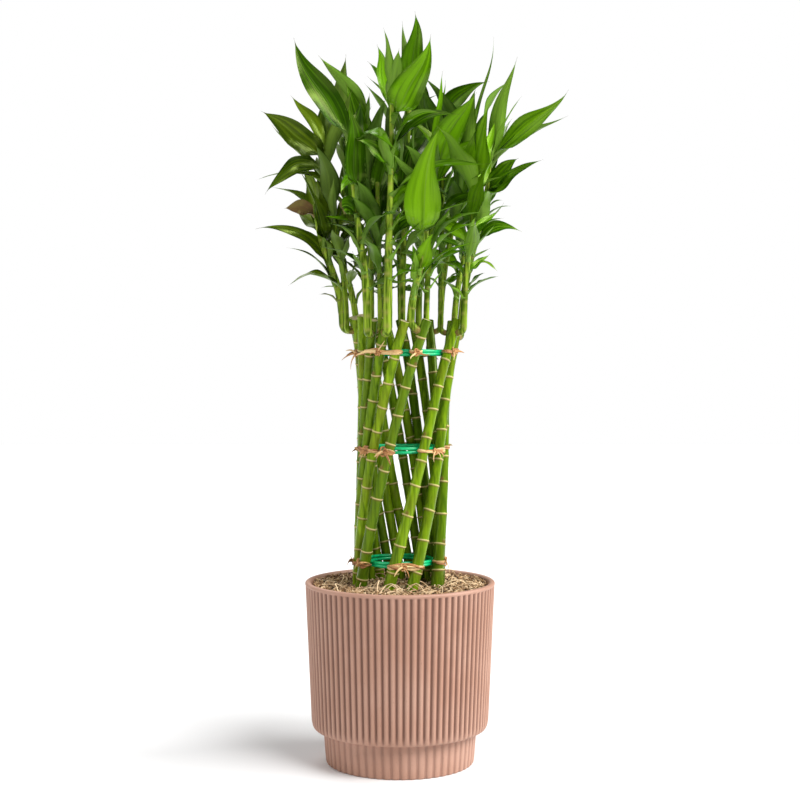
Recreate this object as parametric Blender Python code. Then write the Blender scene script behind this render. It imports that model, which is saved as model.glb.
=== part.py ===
"""Potted lucky bamboo: twisted green canes tied to hoops in a fluted pot, with leafy shoots at their tops.

Metres, +Z up. The origin is the middle of the pot's flat underside, the front looks along -Y and +X is to the
right. An azimuth is measured round +Z from the front, so 0 is the front and 90 is the right.
"""

import math
import random
from dataclasses import dataclass

import bmesh
import bpy
from mathutils import Matrix, Vector
from mathutils.bvhtree import BVHTree

MM = 0.001
GAP = 0.3 * MM
UP = Vector((0, 0, 1))
FRONT = Vector((0, -1, 0))

# The pot: a flared, ribbed body on a narrower ribbed foot.
POT_HEIGHT = 0.2415
BODY_FOOT_Z = 0.0466
BODY_LIP_Z = 0.061
RIBS_TOP_Z = 0.2345
BODY_FOOT_RADIUS = 0.1145
BODY_LIP_RADIUS = 0.119
RIM_RADIUS = 0.127
BODY_RIBS = 84
BODY_RIB_DEPTH = 0.0024
FOOT_BOTTOM_RADIUS = 0.0995
FOOT_TOP_RADIUS = 0.1033
FOOT_EDGE = 0.002
FOOT_RIBS = 56
FOOT_RIB_DEPTH = 0.002
FOOT_SUNK = 0.005
POT_FLOOR_Z = 0.014
POT_FLOOR_RADIUS = 0.094
WALL = 0.0075
FILL_SIDES = 48

# The fill: potting soil with a layer of dry moss on it, up to just under the rim.
SOIL_TOP_Z = 0.222
MOSS_TOP_Z = 0.236

# The canes: one ring of them, all twisted the same way. Their foot azimuths and the ring's lean count from
# RING_FOOT_Z, just under the top of the moss, and the canes are cut level on top of it.
RING_FOOT_Z = 0.2283
CANE_FOOT_Z = MOSS_TOP_Z + GAP
CANE_TOP_Z = 0.590
RING_FOOT_RADIUS = 0.0555
RING_TOP_RADIUS = 0.0705
RING_FLARE_Z = 0.450
RING_FLARE_POWER = 2
RING_MIDDLE_X = (-0.002, 0.009)
CANE_FOOT_UPRIGHT = 0.004
CANE_SEED = 17
NODE_SEED = 100
INTERNODE = 0.036
FIRST_INTERNODE_SHARE = (0.5, 0.9)
INTERNODE_SHARE = (0.8, 1.2)
LEAST_LAST_INTERNODE = 0.4
FRONT_CANES = ((-90, 88), (-66, 88), (-16, 88), (16, 82), (64, 54))
FRONT_CANE_RADII = (0.0062, 0.0080, 0.0082, 0.0082, 0.0084)
BACK_CANES = 12
BACK_FOOT_AZIMUTHS = (84, 250)
BACK_TOP_AZIMUTHS = (154, 338)
BACK_CANE_RADIUS = 0.0054
BACK_CANE_RADIUS_SPREAD = (-0.3 * MM, 0.3 * MM)
FRONT_TIP_SPREAD = (-4 * MM, 2 * MM)
BACK_TIP_SPREAD = (-8 * MM, 8 * MM)
CANE_TIP_RADIUS = 0.0056
CANE_TAPER_SPEED = 1.6
CANE_TAPER_POWER = 0.7

# The ties: a coated hoop inside the ring at each of three levels, with canes bound to it in groups.
TIE_LEVELS = (0.268, 0.419, 0.548)
HOOP_WIRE_RADIUS = 0.0028
HOOP_SEGMENTS = 24
HOOP_SIDES = 5
TIE_RADIUS = 0.0011
TIE_SLACK = 0.0004
TIE_DROP = 0.0028
TIE_STEP = math.radians(9)

# The shoots and their leaves.
SHOOT_BELOW_TIP = 0.016
SHOOT_ELBOW_SHARE = 1.6
SHOOT_ELBOW_LEAST = 0.004
SHOOT_KNEE_SHARE = 0.6
SHOOT_HANDLE = 0.35
SHOOT_START_LEAN = 0.35
SHOOT_END_RISE = 0.9
SHOOT_END_LEAN = 0.45
SHOOT_TIP_RADIUS = 0.0022
SHOOT_TAPER_POWER = 1.3
SHOOT_POINTS = 6
SHOOT_STEPS = 60
LONG_LEAF = 0.085
LONG_LEAF_STATIONS = (0.32, 0.66)
SHORT_LEAF_STATIONS = (0.42,)
LEAF_ROOT_HALF_WIDTH = 0.0022
LEAF_THINNEST = 0.0012
LEAF_THICKNESS_SHARE = 0.0115
LEAF_FOLD = math.radians(18)
LEAF_WIDEST_POWER = 0.7
LEAF_DRAWN_OUT_POWER = 1.25
LEAST_LEVEL_REACH = 0.02
LEAF_GUARD = 0.0005
GUARD_SIDES = 6
CANE_GUARD_SWELL = 1.1
CANE_GUARD_POINTS = 9
WELD = 0.01 * MM

# The rule that fills the crown: leaves in a spiral up each stem. A pair gives the value at the spiral's foot and at
# its top, and a spread is the range of a chance.
LEAVES_A_SHOOT = 11
FEWEST_RULE_LEAVES = 5
LEAF_TURN = 138
LEAF_TURN_SPREAD = (-20, 20)
LEAF_TRIES = 7
RETRY_TURN = 47
RULE_ROOT_SHARES = (0.16, 0.98)
RULE_LENGTHS = (0.050, 0.138)
RULE_LENGTH_POWER = 0.7
RULE_LENGTH_SPREAD = (0.85, 1.12)
RULE_RISES = (20, 68)
RULE_RISE_POWER = 1.2
RULE_RISE_SPREAD = (-10, 10)
RULE_WIDTH_SPREAD = (0.27, 0.34)
RULE_ARCH_SPREAD = (0.04, 0.16)
RULE_TURN_SPREAD = (-25, 45)


@dataclass(frozen=True)
class Shoot:
    """A side shoot: the cane it leaves, in which azimuth, the place of its growing tip, and its base radius."""

    cane: int
    azimuth: float
    tip: tuple
    radius: float
    seed: int


SHOOTS = (
    Shoot(12, 275, (-0.114, -0.012, 0.747), 0.0046, 3),
    Shoot(13, 285, (-0.100, 0.000, 0.828), 0.0030, 5),
    Shoot(15, 345, (-0.064, -0.050, 0.822), 0.0045, 7),
    Shoot(14, 130, (-0.042, 0.005, 0.850), 0.0034, 2),
    Shoot(16, 20, (-0.011, -0.052, 0.880), 0.0048, 4),
    Shoot(0, 180, (0.012, -0.004, 0.890), 0.0036, 9),
    Shoot(1, 275, (0.034, -0.088, 0.705), 0.0042, 11),
    Shoot(1, 160, (0.046, -0.034, 0.800), 0.0032, 6),
    Shoot(5, 90, (0.058, 0.034, 0.845), 0.0032, 8),
    Shoot(4, 250, (0.084, 0.002, 0.830), 0.0032, 12),
    Shoot(2, 60, (0.100, -0.048, 0.800), 0.0036, 13),
    Shoot(3, 150, (0.122, 0.010, 0.815), 0.0040, 14),
    Shoot(6, 170, (0.034, 0.112, 0.830), 0.0038, 15),
    Shoot(7, 190, (-0.006, 0.126, 0.860), 0.0038, 16),
    Shoot(8, 200, (-0.048, 0.116, 0.800), 0.0036, 17),
    Shoot(9, 222, (-0.080, 0.092, 0.845), 0.0038, 18),
    Shoot(10, 245, (-0.112, 0.056, 0.790), 0.0036, 19),
    Shoot(4, 160, (0.106, 0.086, 0.785), 0.0036, 20),
    Shoot(15, 130, (-0.030, -0.026, 0.775), 0.0028, 21),
)

# The long leaves that make the crown's outline, in millimetres, for each shoot in turn: the height of the leaf's
# root, its tip (x, y, z), its full width, its arch as a hundredth of its length, and by how many degrees its upper
# side is turned to the front.
LONG_LEAVES = {
    0: (
        (655, -192, -30, 712, 20, 22, 45),
        (640, -152, -22, 688, 10, 15, 30),
        (648, -150, -14, 637, 14, 12, 30),
        (617, -108, -14, 626, 8, 10, 30),
        (665, -135, -46, 792, 30, 8, 70),
        (728, -156, -4, 742, 22, 12, 55),
    ),
    1: (
        (800, -185, -24, 870, 36, 2, 60),
        (785, -178, -46, 756, 24, 18, 55),
        (768, -192, -20, 778, 12, 12, 40),
        (770, -140, -10, 792, 12, 10, 40),
        (825, -149, 26, 899, 18, 5, 50),
    ),
    2: (
        (820, -139, -58, 960, 38, -4, 55),
        (745, -66, -80, 868, 36, 8, 75),
        (815, -5, -92, 806, 20, 25, 30),
        (770, -76, -92, 752, 14, 20, 60),
    ),
    3: (
        (800, -75, 8, 915, 34, 5, 65),
        (850, -111, 12, 951, 22, 6, -60),
        (848, -41, 0, 898, 12, 5, 60),
    ),
    4: (
        (874, -22, -46, 976, 18, 4, -70),
        (872, -1, -64, 945, 27, 6, -80),
        (850, 40, -76, 961, 44, -5, 70),
        (785, -55, -84, 822, 24, 15, 50),
        (790, 56, -104, 853, 20, 30, 35),
        (740, -18, -88, 830, 20, 8, 60),
    ),
    5: (
        (885, 20, -12, 1005, 32, -4, 75),
        (880, 3, -18, 991, 18, 4, -60),
    ),
    6: (
        (690, 57, -112, 839, 48, 6, 80),
        (650, 44, -102, 702, 24, 8, 70),
        (645, 16, -100, 688, 16, 8, 60),
        (640, 98, -92, 690, 8, 12, 30),
    ),
    7: (
        (795, 101, -52, 890, 34, 6, 65),
        (790, 57, -24, 923, 9, 4, 40),
    ),
    8: (
        (840, 120, -12, 911, 32, 22, 55),
        (838, 62, 22, 919, 9, 4, 40),
    ),
    9: (
        (820, 127, 16, 977, 9, -6, 40),
        (810, 101, -30, 900, 26, 4, -60),
    ),
    10: (
        (760, 115, -80, 870, 38, 4, 80),
        (700, 122, -92, 801, 30, 10, 60),
    ),
    11: (
        (812, 225, -20, 899, 32, -6, 50),
        (806, 157, -14, 944, 22, 3, -65),
        (800, 161, -38, 887, 12, 8, 40),
        (800, 227, 4, 868, 18, 4, -40),
        (750, 190, -32, 804, 24, 8, 45),
        (762, 159, -8, 809, 26, 8, 50),
        (728, 136, -22, 751, 8, 15, 20),
        (720, 149, -14, 744, 8, 15, 20),
        (695, 165, 12, 712, 20, 20, 45),
        (662, 131, 2, 658, 8, 20, 20),
    ),
}

# How far the crown reaches to the left and to the right at each height, and to the front and back.
CROWN_HEIGHTS = (0.600, 0.640, 0.700, 0.800, 0.870, 0.960, 1.005)
CROWN_LEFT = (0.070, 0.150, 0.192, 0.192, 0.185, 0.139, 0.020)
CROWN_RIGHT = (0.100, 0.131, 0.165, 0.190, 0.227, 0.130, 0.040)
CROWN_DEPTH = (0.080, 0.130, 0.170, 0.185, 0.175, 0.110, 0.040)

COLOURS = {
    "pot": ((0.50, 0.23, 0.16, 1), 0.62),
    "soil": ((0.05, 0.03, 0.02, 1), 0.95),
    "moss": ((0.38, 0.27, 0.15, 1), 0.95),
    "cane": ((0.16, 0.36, 0.05, 1), 0.35),
    "hoop": ((0.0, 0.36, 0.16, 1), 0.30),
    "raffia": ((0.48, 0.25, 0.10, 1), 0.80),
    "leaf": ((0.10, 0.30, 0.03, 1), 0.38),
}


def empty_the_scene():
    for obj in list(bpy.data.objects):
        bpy.data.objects.remove(obj, do_unlink=True)


def new_collection(name):
    collection = bpy.data.collections.new(name)
    bpy.context.scene.collection.children.link(collection)
    return collection


def make_materials():
    """One plain Principled material for each finish."""
    made = {}
    for name, (colour, roughness) in COLOURS.items():
        material = bpy.data.materials.new(name)
        material.use_nodes = True
        shader = material.node_tree.nodes["Principled BSDF"]
        shader.inputs["Base Color"].default_value = colour
        shader.inputs["Roughness"].default_value = roughness
        shader.inputs["Metallic"].default_value = 0.0
        made[name] = material
    return made


def add_object(name, data, collection, material=None):
    obj = bpy.data.objects.new(name, data)
    collection.objects.link(obj)
    if material:
        data.materials.append(material)
    return obj


def mix(a, b, share):
    return a + (b - a) * share


def on_curve(x, xs, ys):
    """The height at x of the broken line through the points (xs, ys)."""
    for x0, x1, y0, y1 in zip(xs, xs[1:], ys, ys[1:]):
        if x <= x1:
            return mix(y0, y1, max(0.0, (x - x0) / (x1 - x0)))
    return ys[-1]


def towards(azimuth):
    """The level unit vector that looks in this azimuth, in degrees."""
    turn = math.radians(azimuth)
    return Vector((math.sin(turn), -math.cos(turn), 0))


# ---------------------------------------------------------------- the pot and its fill


def ribbed_ring(radius, depth, ribs, z):
    """The points of a level ring with this many ribs: a groove and a crown for each."""
    points = []
    for step in range(2 * ribs):
        angle = math.pi * step / ribs
        r = radius - depth * (step % 2)
        points.append(Vector((r * math.cos(angle), r * math.sin(angle), z)))
    return points


def loft(name, rings):
    """A closed mesh through level rings of equally many points, listed from the lowest up."""
    mesh = bpy.data.meshes.new(name)
    bm = bmesh.new()
    rows = [[bm.verts.new(point) for point in ring] for ring in rings]
    for low, high in zip(rows, rows[1:]):
        for i in range(len(low)):
            j = (i + 1) % len(low)
            bm.faces.new((low[i], low[j], high[j], high[i]))
    bm.faces.new(rows[0][::-1])
    bm.faces.new(rows[-1])
    bm.to_mesh(mesh)
    bm.free()
    return mesh


def frustum(name, low_z, low_radius, high_z, high_radius):
    """A closed level slice of a cone."""
    mesh = bpy.data.meshes.new(name)
    bm = bmesh.new()
    bmesh.ops.create_cone(
        bm, cap_ends=True, segments=FILL_SIDES, radius1=low_radius, radius2=high_radius, depth=high_z - low_z
    )
    bmesh.ops.translate(bm, verts=bm.verts, vec=(0, 0, (low_z + high_z) / 2))
    bm.to_mesh(mesh)
    bm.free()
    return mesh


def inside_radius(z):
    """The radius of the pot's inside at height z."""
    share = (z - POT_FLOOR_Z) / (POT_HEIGHT - POT_FLOOR_Z)
    return mix(POT_FLOOR_RADIUS, RIM_RADIUS - WALL, share)


def add_boolean(obj, other, operation):
    modifier = obj.modifiers.new(f"{operation.lower()} {other.name}", "BOOLEAN")
    modifier.operation = operation
    modifier.object = other
    other.hide_render = True
    other.display_type = "WIRE"


def make_pot(parts, helpers, material):
    """The ribbed body joined to its ribbed foot, and hollowed."""
    rings = [
        ribbed_ring(BODY_FOOT_RADIUS, BODY_RIB_DEPTH, BODY_RIBS, BODY_FOOT_Z),
        ribbed_ring(BODY_LIP_RADIUS, BODY_RIB_DEPTH, BODY_RIBS, BODY_LIP_Z),
        ribbed_ring(RIM_RADIUS, BODY_RIB_DEPTH, BODY_RIBS, RIBS_TOP_Z),
        ribbed_ring(RIM_RADIUS, 0, BODY_RIBS, RIBS_TOP_Z + BODY_RIB_DEPTH),
        ribbed_ring(RIM_RADIUS, 0, BODY_RIBS, POT_HEIGHT),
    ]
    pot = add_object("planter", loft("planter", rings), parts, material)
    foot_rings = [
        ribbed_ring(FOOT_BOTTOM_RADIUS - FOOT_EDGE, FOOT_RIB_DEPTH, FOOT_RIBS, 0),
        ribbed_ring(FOOT_BOTTOM_RADIUS, FOOT_RIB_DEPTH, FOOT_RIBS, FOOT_EDGE),
        ribbed_ring(FOOT_TOP_RADIUS, FOOT_RIB_DEPTH, FOOT_RIBS, BODY_FOOT_Z + FOOT_SUNK),
    ]
    foot = add_object("pot foot", loft("pot foot", foot_rings), helpers)
    above = POT_HEIGHT + WALL
    hollow_mesh = frustum("pot inside", POT_FLOOR_Z, POT_FLOOR_RADIUS, above, inside_radius(above))
    hollow = add_object("pot inside", hollow_mesh, helpers)
    add_boolean(pot, foot, "UNION")
    add_boolean(pot, hollow, "DIFFERENCE")


def make_fill(parts, materials):
    """The soil, and the moss on top of it."""
    layers = (("soil", POT_FLOOR_Z + GAP, SOIL_TOP_Z), ("moss", SOIL_TOP_Z + GAP, MOSS_TOP_Z))
    for name, low, high in layers:
        mesh = frustum(name, low, inside_radius(low) - GAP, high, inside_radius(high) - GAP)
        add_object(name, mesh, parts, materials[name])


# ---------------------------------------------------------------- the canes


@dataclass(frozen=True)
class Cane:
    """One cane of the ring: its azimuths at the foot and at the tip, its foot's radius and its tip's height."""

    foot_azimuth: float
    tip_azimuth: float
    foot_radius: float
    tip_z: float

    def share(self, z):
        """How far up the cane z is."""
        return (z - RING_FOOT_Z) / (self.tip_z - RING_FOOT_Z)

    def azimuth(self, z):
        return mix(self.foot_azimuth, self.tip_azimuth, self.share(z))

    def centre(self, z):
        """The point of the cane's axis at height z."""
        return ring_middle(z) + ring_radius(z) * towards(self.azimuth(z))

    def radius(self, z):
        """A cane tapers fast above its foot, then hardly at all."""
        taper = min(1.0, CANE_TAPER_SPEED * self.share(z)) ** CANE_TAPER_POWER
        return mix(self.foot_radius, min(self.foot_radius, CANE_TIP_RADIUS), taper)


def ring_radius(z):
    """The ring of canes is straight up to a height, and flares from there to their tips."""
    share = max(0.0, (z - RING_FLARE_Z) / (CANE_TOP_Z - RING_FLARE_Z))
    return mix(RING_FOOT_RADIUS, RING_TOP_RADIUS, share**RING_FLARE_POWER)


def ring_middle(z):
    """The ring leans a little to the right, so its middle moves as it goes up."""
    share = (z - RING_FOOT_Z) / (CANE_TOP_Z - RING_FOOT_Z)
    return Vector((mix(*RING_MIDDLE_X, share), 0, z))


def ring_of_canes():
    dice = random.Random(CANE_SEED)
    canes = []
    for (foot, turn), radius in zip(FRONT_CANES, FRONT_CANE_RADII):
        canes.append(Cane(foot, foot + turn, radius, CANE_TOP_Z + dice.uniform(*FRONT_TIP_SPREAD)))
    for number in range(BACK_CANES):
        share = number / (BACK_CANES - 1)
        foot = mix(*BACK_FOOT_AZIMUTHS, share)
        tip = mix(*BACK_TOP_AZIMUTHS, share)
        radius = BACK_CANE_RADIUS + dice.uniform(*BACK_CANE_RADIUS_SPREAD)
        canes.append(Cane(foot, tip, radius, CANE_TOP_Z + dice.uniform(*BACK_TIP_SPREAD)))
    return canes


def node_heights(cane, dice):
    """The heights of the cane's rings, from its foot to its tip."""
    heights = [CANE_FOOT_Z, CANE_FOOT_Z + CANE_FOOT_UPRIGHT]
    z = RING_FOOT_Z + INTERNODE * dice.uniform(*FIRST_INTERNODE_SHARE)
    while z < cane.tip_z - LEAST_LAST_INTERNODE * INTERNODE:
        heights.append(z)
        z += INTERNODE * dice.uniform(*INTERNODE_SHARE)
    heights.append(cane.tip_z)
    return heights


def tube(name, points, radii, sides_resolution, closed=False):
    """A curve object's data: a straight-run spline through the points, with these radii and flat ends."""
    curve = bpy.data.curves.new(name, "CURVE")
    curve.dimensions = "3D"
    curve.bevel_depth = 1.0
    curve.bevel_resolution = sides_resolution
    curve.use_fill_caps = not closed
    spline = curve.splines.new("POLY")
    spline.points.add(len(points) - 1)
    spline.use_cyclic_u = closed
    for target, point, radius in zip(spline.points, points, radii):
        target.co = (*point, 1)
        target.radius = radius
    return curve


def make_canes(canes, parts, material):
    """Each cane runs through the middles of its rings. Its foot is upright, so that it is cut level."""
    for number, cane in enumerate(canes, 1):
        heights = node_heights(cane, random.Random(NODE_SEED + number))
        points = [cane.centre(z) for z in heights]
        points[1] = points[0] + CANE_FOOT_UPRIGHT * UP
        radii = [cane.radius(z) for z in heights]
        name = f"cane_{number:02d}"
        add_object(name, tube(name, points, radii, 2), parts, material)


# ---------------------------------------------------------------- the hoops and ties


def hoop_radius(canes, level):
    """The hoop's middle circle, so that its wire clears the thickest cane on the inside."""
    thickest = max(cane.radius(level) for cane in canes)
    return ring_radius(level) - thickest - HOOP_WIRE_RADIUS - TIE_SLACK


def make_hoops(canes, parts, material):
    for number, level in enumerate(TIE_LEVELS, 1):
        bpy.ops.mesh.primitive_torus_add(
            major_segments=HOOP_SEGMENTS,
            minor_segments=HOOP_SIDES,
            major_radius=hoop_radius(canes, level),
            minor_radius=HOOP_WIRE_RADIUS,
            location=ring_middle(level),
        )
        hoop = bpy.context.object
        hoop.name = f"hoop_{number}"
        hoop.data.materials.append(material)
        for collection in list(hoop.users_collection):
            collection.objects.unlink(hoop)
        parts.objects.link(hoop)


def groups_of_canes(count):
    """How many canes each tie of a level binds: threes and fours, all the way round."""
    fours = count % 3
    threes = (count - 4 * fours) // 3
    return [4] * fours + [3] * threes


def tie_path(canes, level, order, first, size):
    """Out from the hoop through one gap, round the outside of a group of canes, and in again through the next."""
    azimuths = [cane.azimuth(level) for cane in order]
    count = len(order)

    def gap_azimuth(left):
        a = azimuths[left % count]
        b = azimuths[(left + 1) % count]
        return a + ((b - a) % 360) / 2

    start = math.radians(gap_azimuth(first - 1))
    end = math.radians(gap_azimuth(first + size - 1))
    end += 2 * math.pi * (end < start)
    group = [order[(first + i) % count] for i in range(size)]
    thickest = max(cane.radius(level) for cane in group)
    outside = ring_radius(level) + thickest + TIE_RADIUS + 2 * TIE_SLACK
    inside = hoop_radius(canes, level) + HOOP_WIRE_RADIUS + TIE_SLACK
    steps = max(3, round((end - start) / TIE_STEP))
    turns = [start + (end - start) * i / steps for i in range(steps + 1)]
    spots = [(start, inside)] + [(turn, outside) for turn in turns] + [(end, inside)]
    top = ring_middle(level) + UP * TIE_DROP / 2
    points = []
    for turn, r in spots:
        drop = TIE_DROP * (turn - start) / (end - start)
        points.append(top + r * Vector((math.sin(turn), -math.cos(turn), 0)) - drop * UP)
    return points


def make_ties(canes, parts, material):
    for row, level in enumerate(TIE_LEVELS, 1):
        order = sorted(canes, key=lambda cane: cane.azimuth(level) % 360)
        first = row
        for number, size in enumerate(groups_of_canes(len(canes)), 1):
            points = tie_path(canes, level, order, first, size)
            name = f"tie_{row}_{number}"
            data = tube(name, points, [TIE_RADIUS] * len(points), 0)
            add_object(name, data, parts, material)
            first += size


# ---------------------------------------------------------------- the shoots and leaves


@dataclass(frozen=True)
class Leaf:
    """A leaf blade: its root and tip, full width, arch as a share of its length, and turn to the front."""

    root: Vector
    tip: Vector
    width: float
    arch: float
    turn: float

    def frame(self):
        """The leaf's chord, its side and its upper side before the turn, as unit vectors."""
        chord = (self.tip - self.root).normalized()
        level = Vector((chord.x, chord.y, 0))
        outward = level.normalized() if level.length > LEAST_LEVEL_REACH else FRONT.copy()
        side = outward.cross(UP)
        upper = side.cross(chord).normalized()
        return chord, side, upper

    def midrib(self, u):
        """A parabola from root to tip that rises to its upper side."""
        chord, side, upper = self.frame()
        length = (self.tip - self.root).length
        return self.root.lerp(self.tip, u) + upper * (4 * self.arch * length * u * (1 - u))

    def sides(self):
        """The side and upper vectors once the leaf is turned about its chord to the front."""
        chord, side, upper = self.frame()
        facing = 1 if chord.cross(upper).dot(FRONT) > 0 else -1
        spin = Matrix.Rotation(math.radians(self.turn) * facing, 3, chord)
        return spin @ side, spin @ upper


def leaf_outline(u):
    """Half of the leaf's width at u, as a share of half its full width: widest at about a third, and drawn out."""
    return math.sin(math.pi * u**LEAF_WIDEST_POWER) ** LEAF_DRAWN_OUT_POWER


def leaf_sections(leaf, swell):
    """The four-point sections of a leaf, and its tip. Swell makes it fatter all round."""
    side, upper = leaf.sides()
    length = (leaf.tip - leaf.root).length
    thick = max(LEAF_THINNEST, LEAF_THICKNESS_SHARE * length) / 2 + swell
    sections = []
    for u in (0, *(LONG_LEAF_STATIONS if length > LONG_LEAF else SHORT_LEAF_STATIONS)):
        half = max(LEAF_ROOT_HALF_WIDTH, leaf.width / 2 * leaf_outline(u)) + swell
        middle = leaf.midrib(u)
        lift = half * math.sin(LEAF_FOLD)
        reach = half * math.cos(LEAF_FOLD)
        sections.append(
            (
                middle - reach * side + lift * upper,
                middle + thick * upper,
                middle + reach * side + lift * upper,
                middle - thick * upper,
            )
        )
    tip = leaf.tip + swell * (leaf.tip - leaf.root).normalized()
    return sections, tip


def leaf_faces(swell, leaf):
    """The leaf's points and faces: a four-sided tube, flattened and folded, that ends in its tip."""
    sections, tip = leaf_sections(leaf, swell)
    points = [point for section in sections for point in section] + [tip]
    faces = [(3, 2, 1, 0)]
    for row in range(len(sections) - 1):
        for i in range(4):
            j = (i + 1) % 4
            faces.append((4 * row + i, 4 * row + j, 4 * row + 4 + j, 4 * row + 4 + i))
    last = 4 * (len(sections) - 1)
    faces += [(last + i, last + (i + 1) % 4, len(points) - 1) for i in range(4)]
    return points, faces


def guard_tree(points, faces):
    return BVHTree.FromPolygons([tuple(point) for point in points], faces, all_triangles=False)


def tube_faces(points, radii, sides=GUARD_SIDES):
    """A rough tube round a path, for telling what would touch it."""
    rings = []
    for i, (point, radius) in enumerate(zip(points, radii)):
        along = (points[min(i + 1, len(points) - 1)] - points[max(i - 1, 0)]).normalized()
        across = along.cross(FRONT).normalized()
        other = along.cross(across)
        turns = [2 * math.pi * k / sides for k in range(sides)]
        rings.append([point + radius * (math.cos(t) * across + math.sin(t) * other) for t in turns])
    faces = []
    for row in range(len(rings) - 1):
        for i in range(sides):
            j = (i + 1) % sides
            low = row * sides
            faces.append((low + i, low + j, low + sides + j, low + sides + i))
    faces.append(tuple(range(sides))[::-1])
    faces.append(tuple(range(len(rings) * sides - sides, len(rings) * sides)))
    return [point for ring in rings for point in ring], faces


class Stem:
    """A shoot's stem: out of its cane's side, round an elbow and up to its growing tip."""

    def __init__(self, shoot, cane):
        self.shoot = shoot
        z = cane.tip_z - SHOOT_BELOW_TIP
        along = (cane.centre(cane.tip_z) - cane.centre(z)).normalized()
        out = towards(shoot.azimuth)
        out = (out - out.dot(along) * along).normalized()
        self.base = cane.centre(z) + out * (cane.radius(z) + GAP)
        reach = SHOOT_ELBOW_SHARE * shoot.radius + SHOOT_ELBOW_LEAST
        self.elbow = self.base + out * reach * SHOOT_KNEE_SHARE
        self.tip = Vector(shoot.tip)
        start = self.base + (out + UP) * reach
        rise = self.tip.z - start.z
        lean = (self.tip - start) / rise
        self.handles = (
            start,
            start + rise * SHOOT_HANDLE * (UP + lean * SHOOT_START_LEAN),
            self.tip - rise * SHOOT_HANDLE * (UP * SHOOT_END_RISE + lean * SHOOT_END_LEAN),
            self.tip,
        )

    def at(self, share):
        """The stem's axis above its elbow, as a cubic curve."""
        a, b, c, d = self.handles
        rest = 1 - share
        return rest**3 * a + 3 * rest**2 * share * b + 3 * rest * share**2 * c + share**3 * d

    def at_height(self, z):
        """The point of the stem's axis nearest to height z."""
        points = (self.at(i / SHOOT_STEPS) for i in range(SHOOT_STEPS + 1))
        return min(points, key=lambda point: abs(point.z - z))

    def path(self):
        """The points of the stem from its base to its tip, and its radius at each."""
        shares = [i / (SHOOT_POINTS - 1) for i in range(SHOOT_POINTS)]
        radii = [mix(self.shoot.radius, SHOOT_TIP_RADIUS, share**SHOOT_TAPER_POWER) for share in shares]
        points = [self.base, self.elbow, *(self.at(share) for share in shares)]
        return points, [self.shoot.radius, self.shoot.radius, *radii]


def in_crown(point):
    """Whether a leaf's tip stays within the crown's reach."""
    left = on_curve(point.z, CROWN_HEIGHTS, CROWN_LEFT)
    right = on_curve(point.z, CROWN_HEIGHTS, CROWN_RIGHT)
    depth = on_curve(point.z, CROWN_HEIGHTS, CROWN_DEPTH)
    within = CROWN_HEIGHTS[0] < point.z < CROWN_HEIGHTS[-1]
    x = point.x / (right if point.x > 0 else left)
    return within and x**2 + (point.y / depth) ** 2 < 1


def long_leaves(number, stem):
    for root_z, x, y, z, width, arch, turn in LONG_LEAVES.get(number, ()):
        root = stem.at_height(root_z * MM)
        yield Leaf(root, Vector((x, y, z)) * MM, width * MM, arch / 100, turn)


def rule_leaf(stem, share, turn, dice):
    """A leaf of the shoot's spiral: short and spreading low down, long and upright near the tip."""
    root = stem.at(mix(*RULE_ROOT_SHARES, share))
    length = mix(*RULE_LENGTHS, share**RULE_LENGTH_POWER) * dice.uniform(*RULE_LENGTH_SPREAD)
    rise = math.radians(mix(*RULE_RISES, share**RULE_RISE_POWER) + dice.uniform(*RULE_RISE_SPREAD))
    out = towards(turn)
    tip = root + length * (math.cos(rise) * out + math.sin(rise) * UP)
    width = length * dice.uniform(*RULE_WIDTH_SPREAD)
    return Leaf(root, tip, width, dice.uniform(*RULE_ARCH_SPREAD), dice.uniform(*RULE_TURN_SPREAD))


def is_clear(leaf, others):
    tree = guard_tree(*leaf_faces(LEAF_GUARD, leaf))
    return not any(tree.overlap(other) for other in others)


def grow_leaves(stems, obstacles):
    """The leaves of every shoot. The long ones are placed first, and one that would touch is left out."""
    stem_guards = [guard_tree(*tube_faces(*swollen(stem))) for stem in stems]
    leaf_guards = [[] for _ in stems]
    leaves = [[] for _ in stems]

    def place(number, leaf, own=()):
        others = [stem for other, stem in enumerate(stem_guards) if other != number]
        others += [tree for other, trees in enumerate(leaf_guards) if other != number for tree in trees]
        if not is_clear(leaf, [*obstacles, *others, *own]):
            return False
        leaves[number].append(leaf)
        leaf_guards[number].append(guard_tree(*leaf_faces(LEAF_GUARD, leaf)))
        return True

    missed = 0
    for number, stem in enumerate(stems):
        for leaf in long_leaves(number, stem):
            missed += not place(number, leaf)
    for number, stem in enumerate(stems):
        dice = random.Random(stem.shoot.seed)
        count = max(FEWEST_RULE_LEAVES, LEAVES_A_SHOOT - len(leaves[number]))
        phase = dice.uniform(0, 360)
        for i in range(count):
            share = i / (count - 1)
            for attempt in range(LEAF_TRIES):
                turn = phase + LEAF_TURN * i + dice.uniform(*LEAF_TURN_SPREAD) + RETRY_TURN * attempt
                leaf = rule_leaf(stem, share, turn, dice)
                if in_crown(leaf.tip) and place(number, leaf, leaf_guards[number]):
                    break
    print("leaves:", [len(group) for group in leaves], "long leaves left out:", missed)
    return leaves


def swollen(stem):
    points, radii = stem.path()
    return points, [radius + LEAF_GUARD for radius in radii]


def mesh_of(curve, name):
    """The mesh of a curve, with its loose ends welded."""
    obj = bpy.data.objects.new(name, curve)
    bpy.context.scene.collection.objects.link(obj)
    graph = bpy.context.evaluated_depsgraph_get()
    mesh = bpy.data.meshes.new_from_object(obj.evaluated_get(graph))
    bpy.data.objects.remove(obj, do_unlink=True)
    bm = bmesh.new()
    bm.from_mesh(mesh)
    bmesh.ops.remove_doubles(bm, verts=bm.verts, dist=WELD)
    bm.to_mesh(mesh)
    bm.free()
    return mesh


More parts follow.
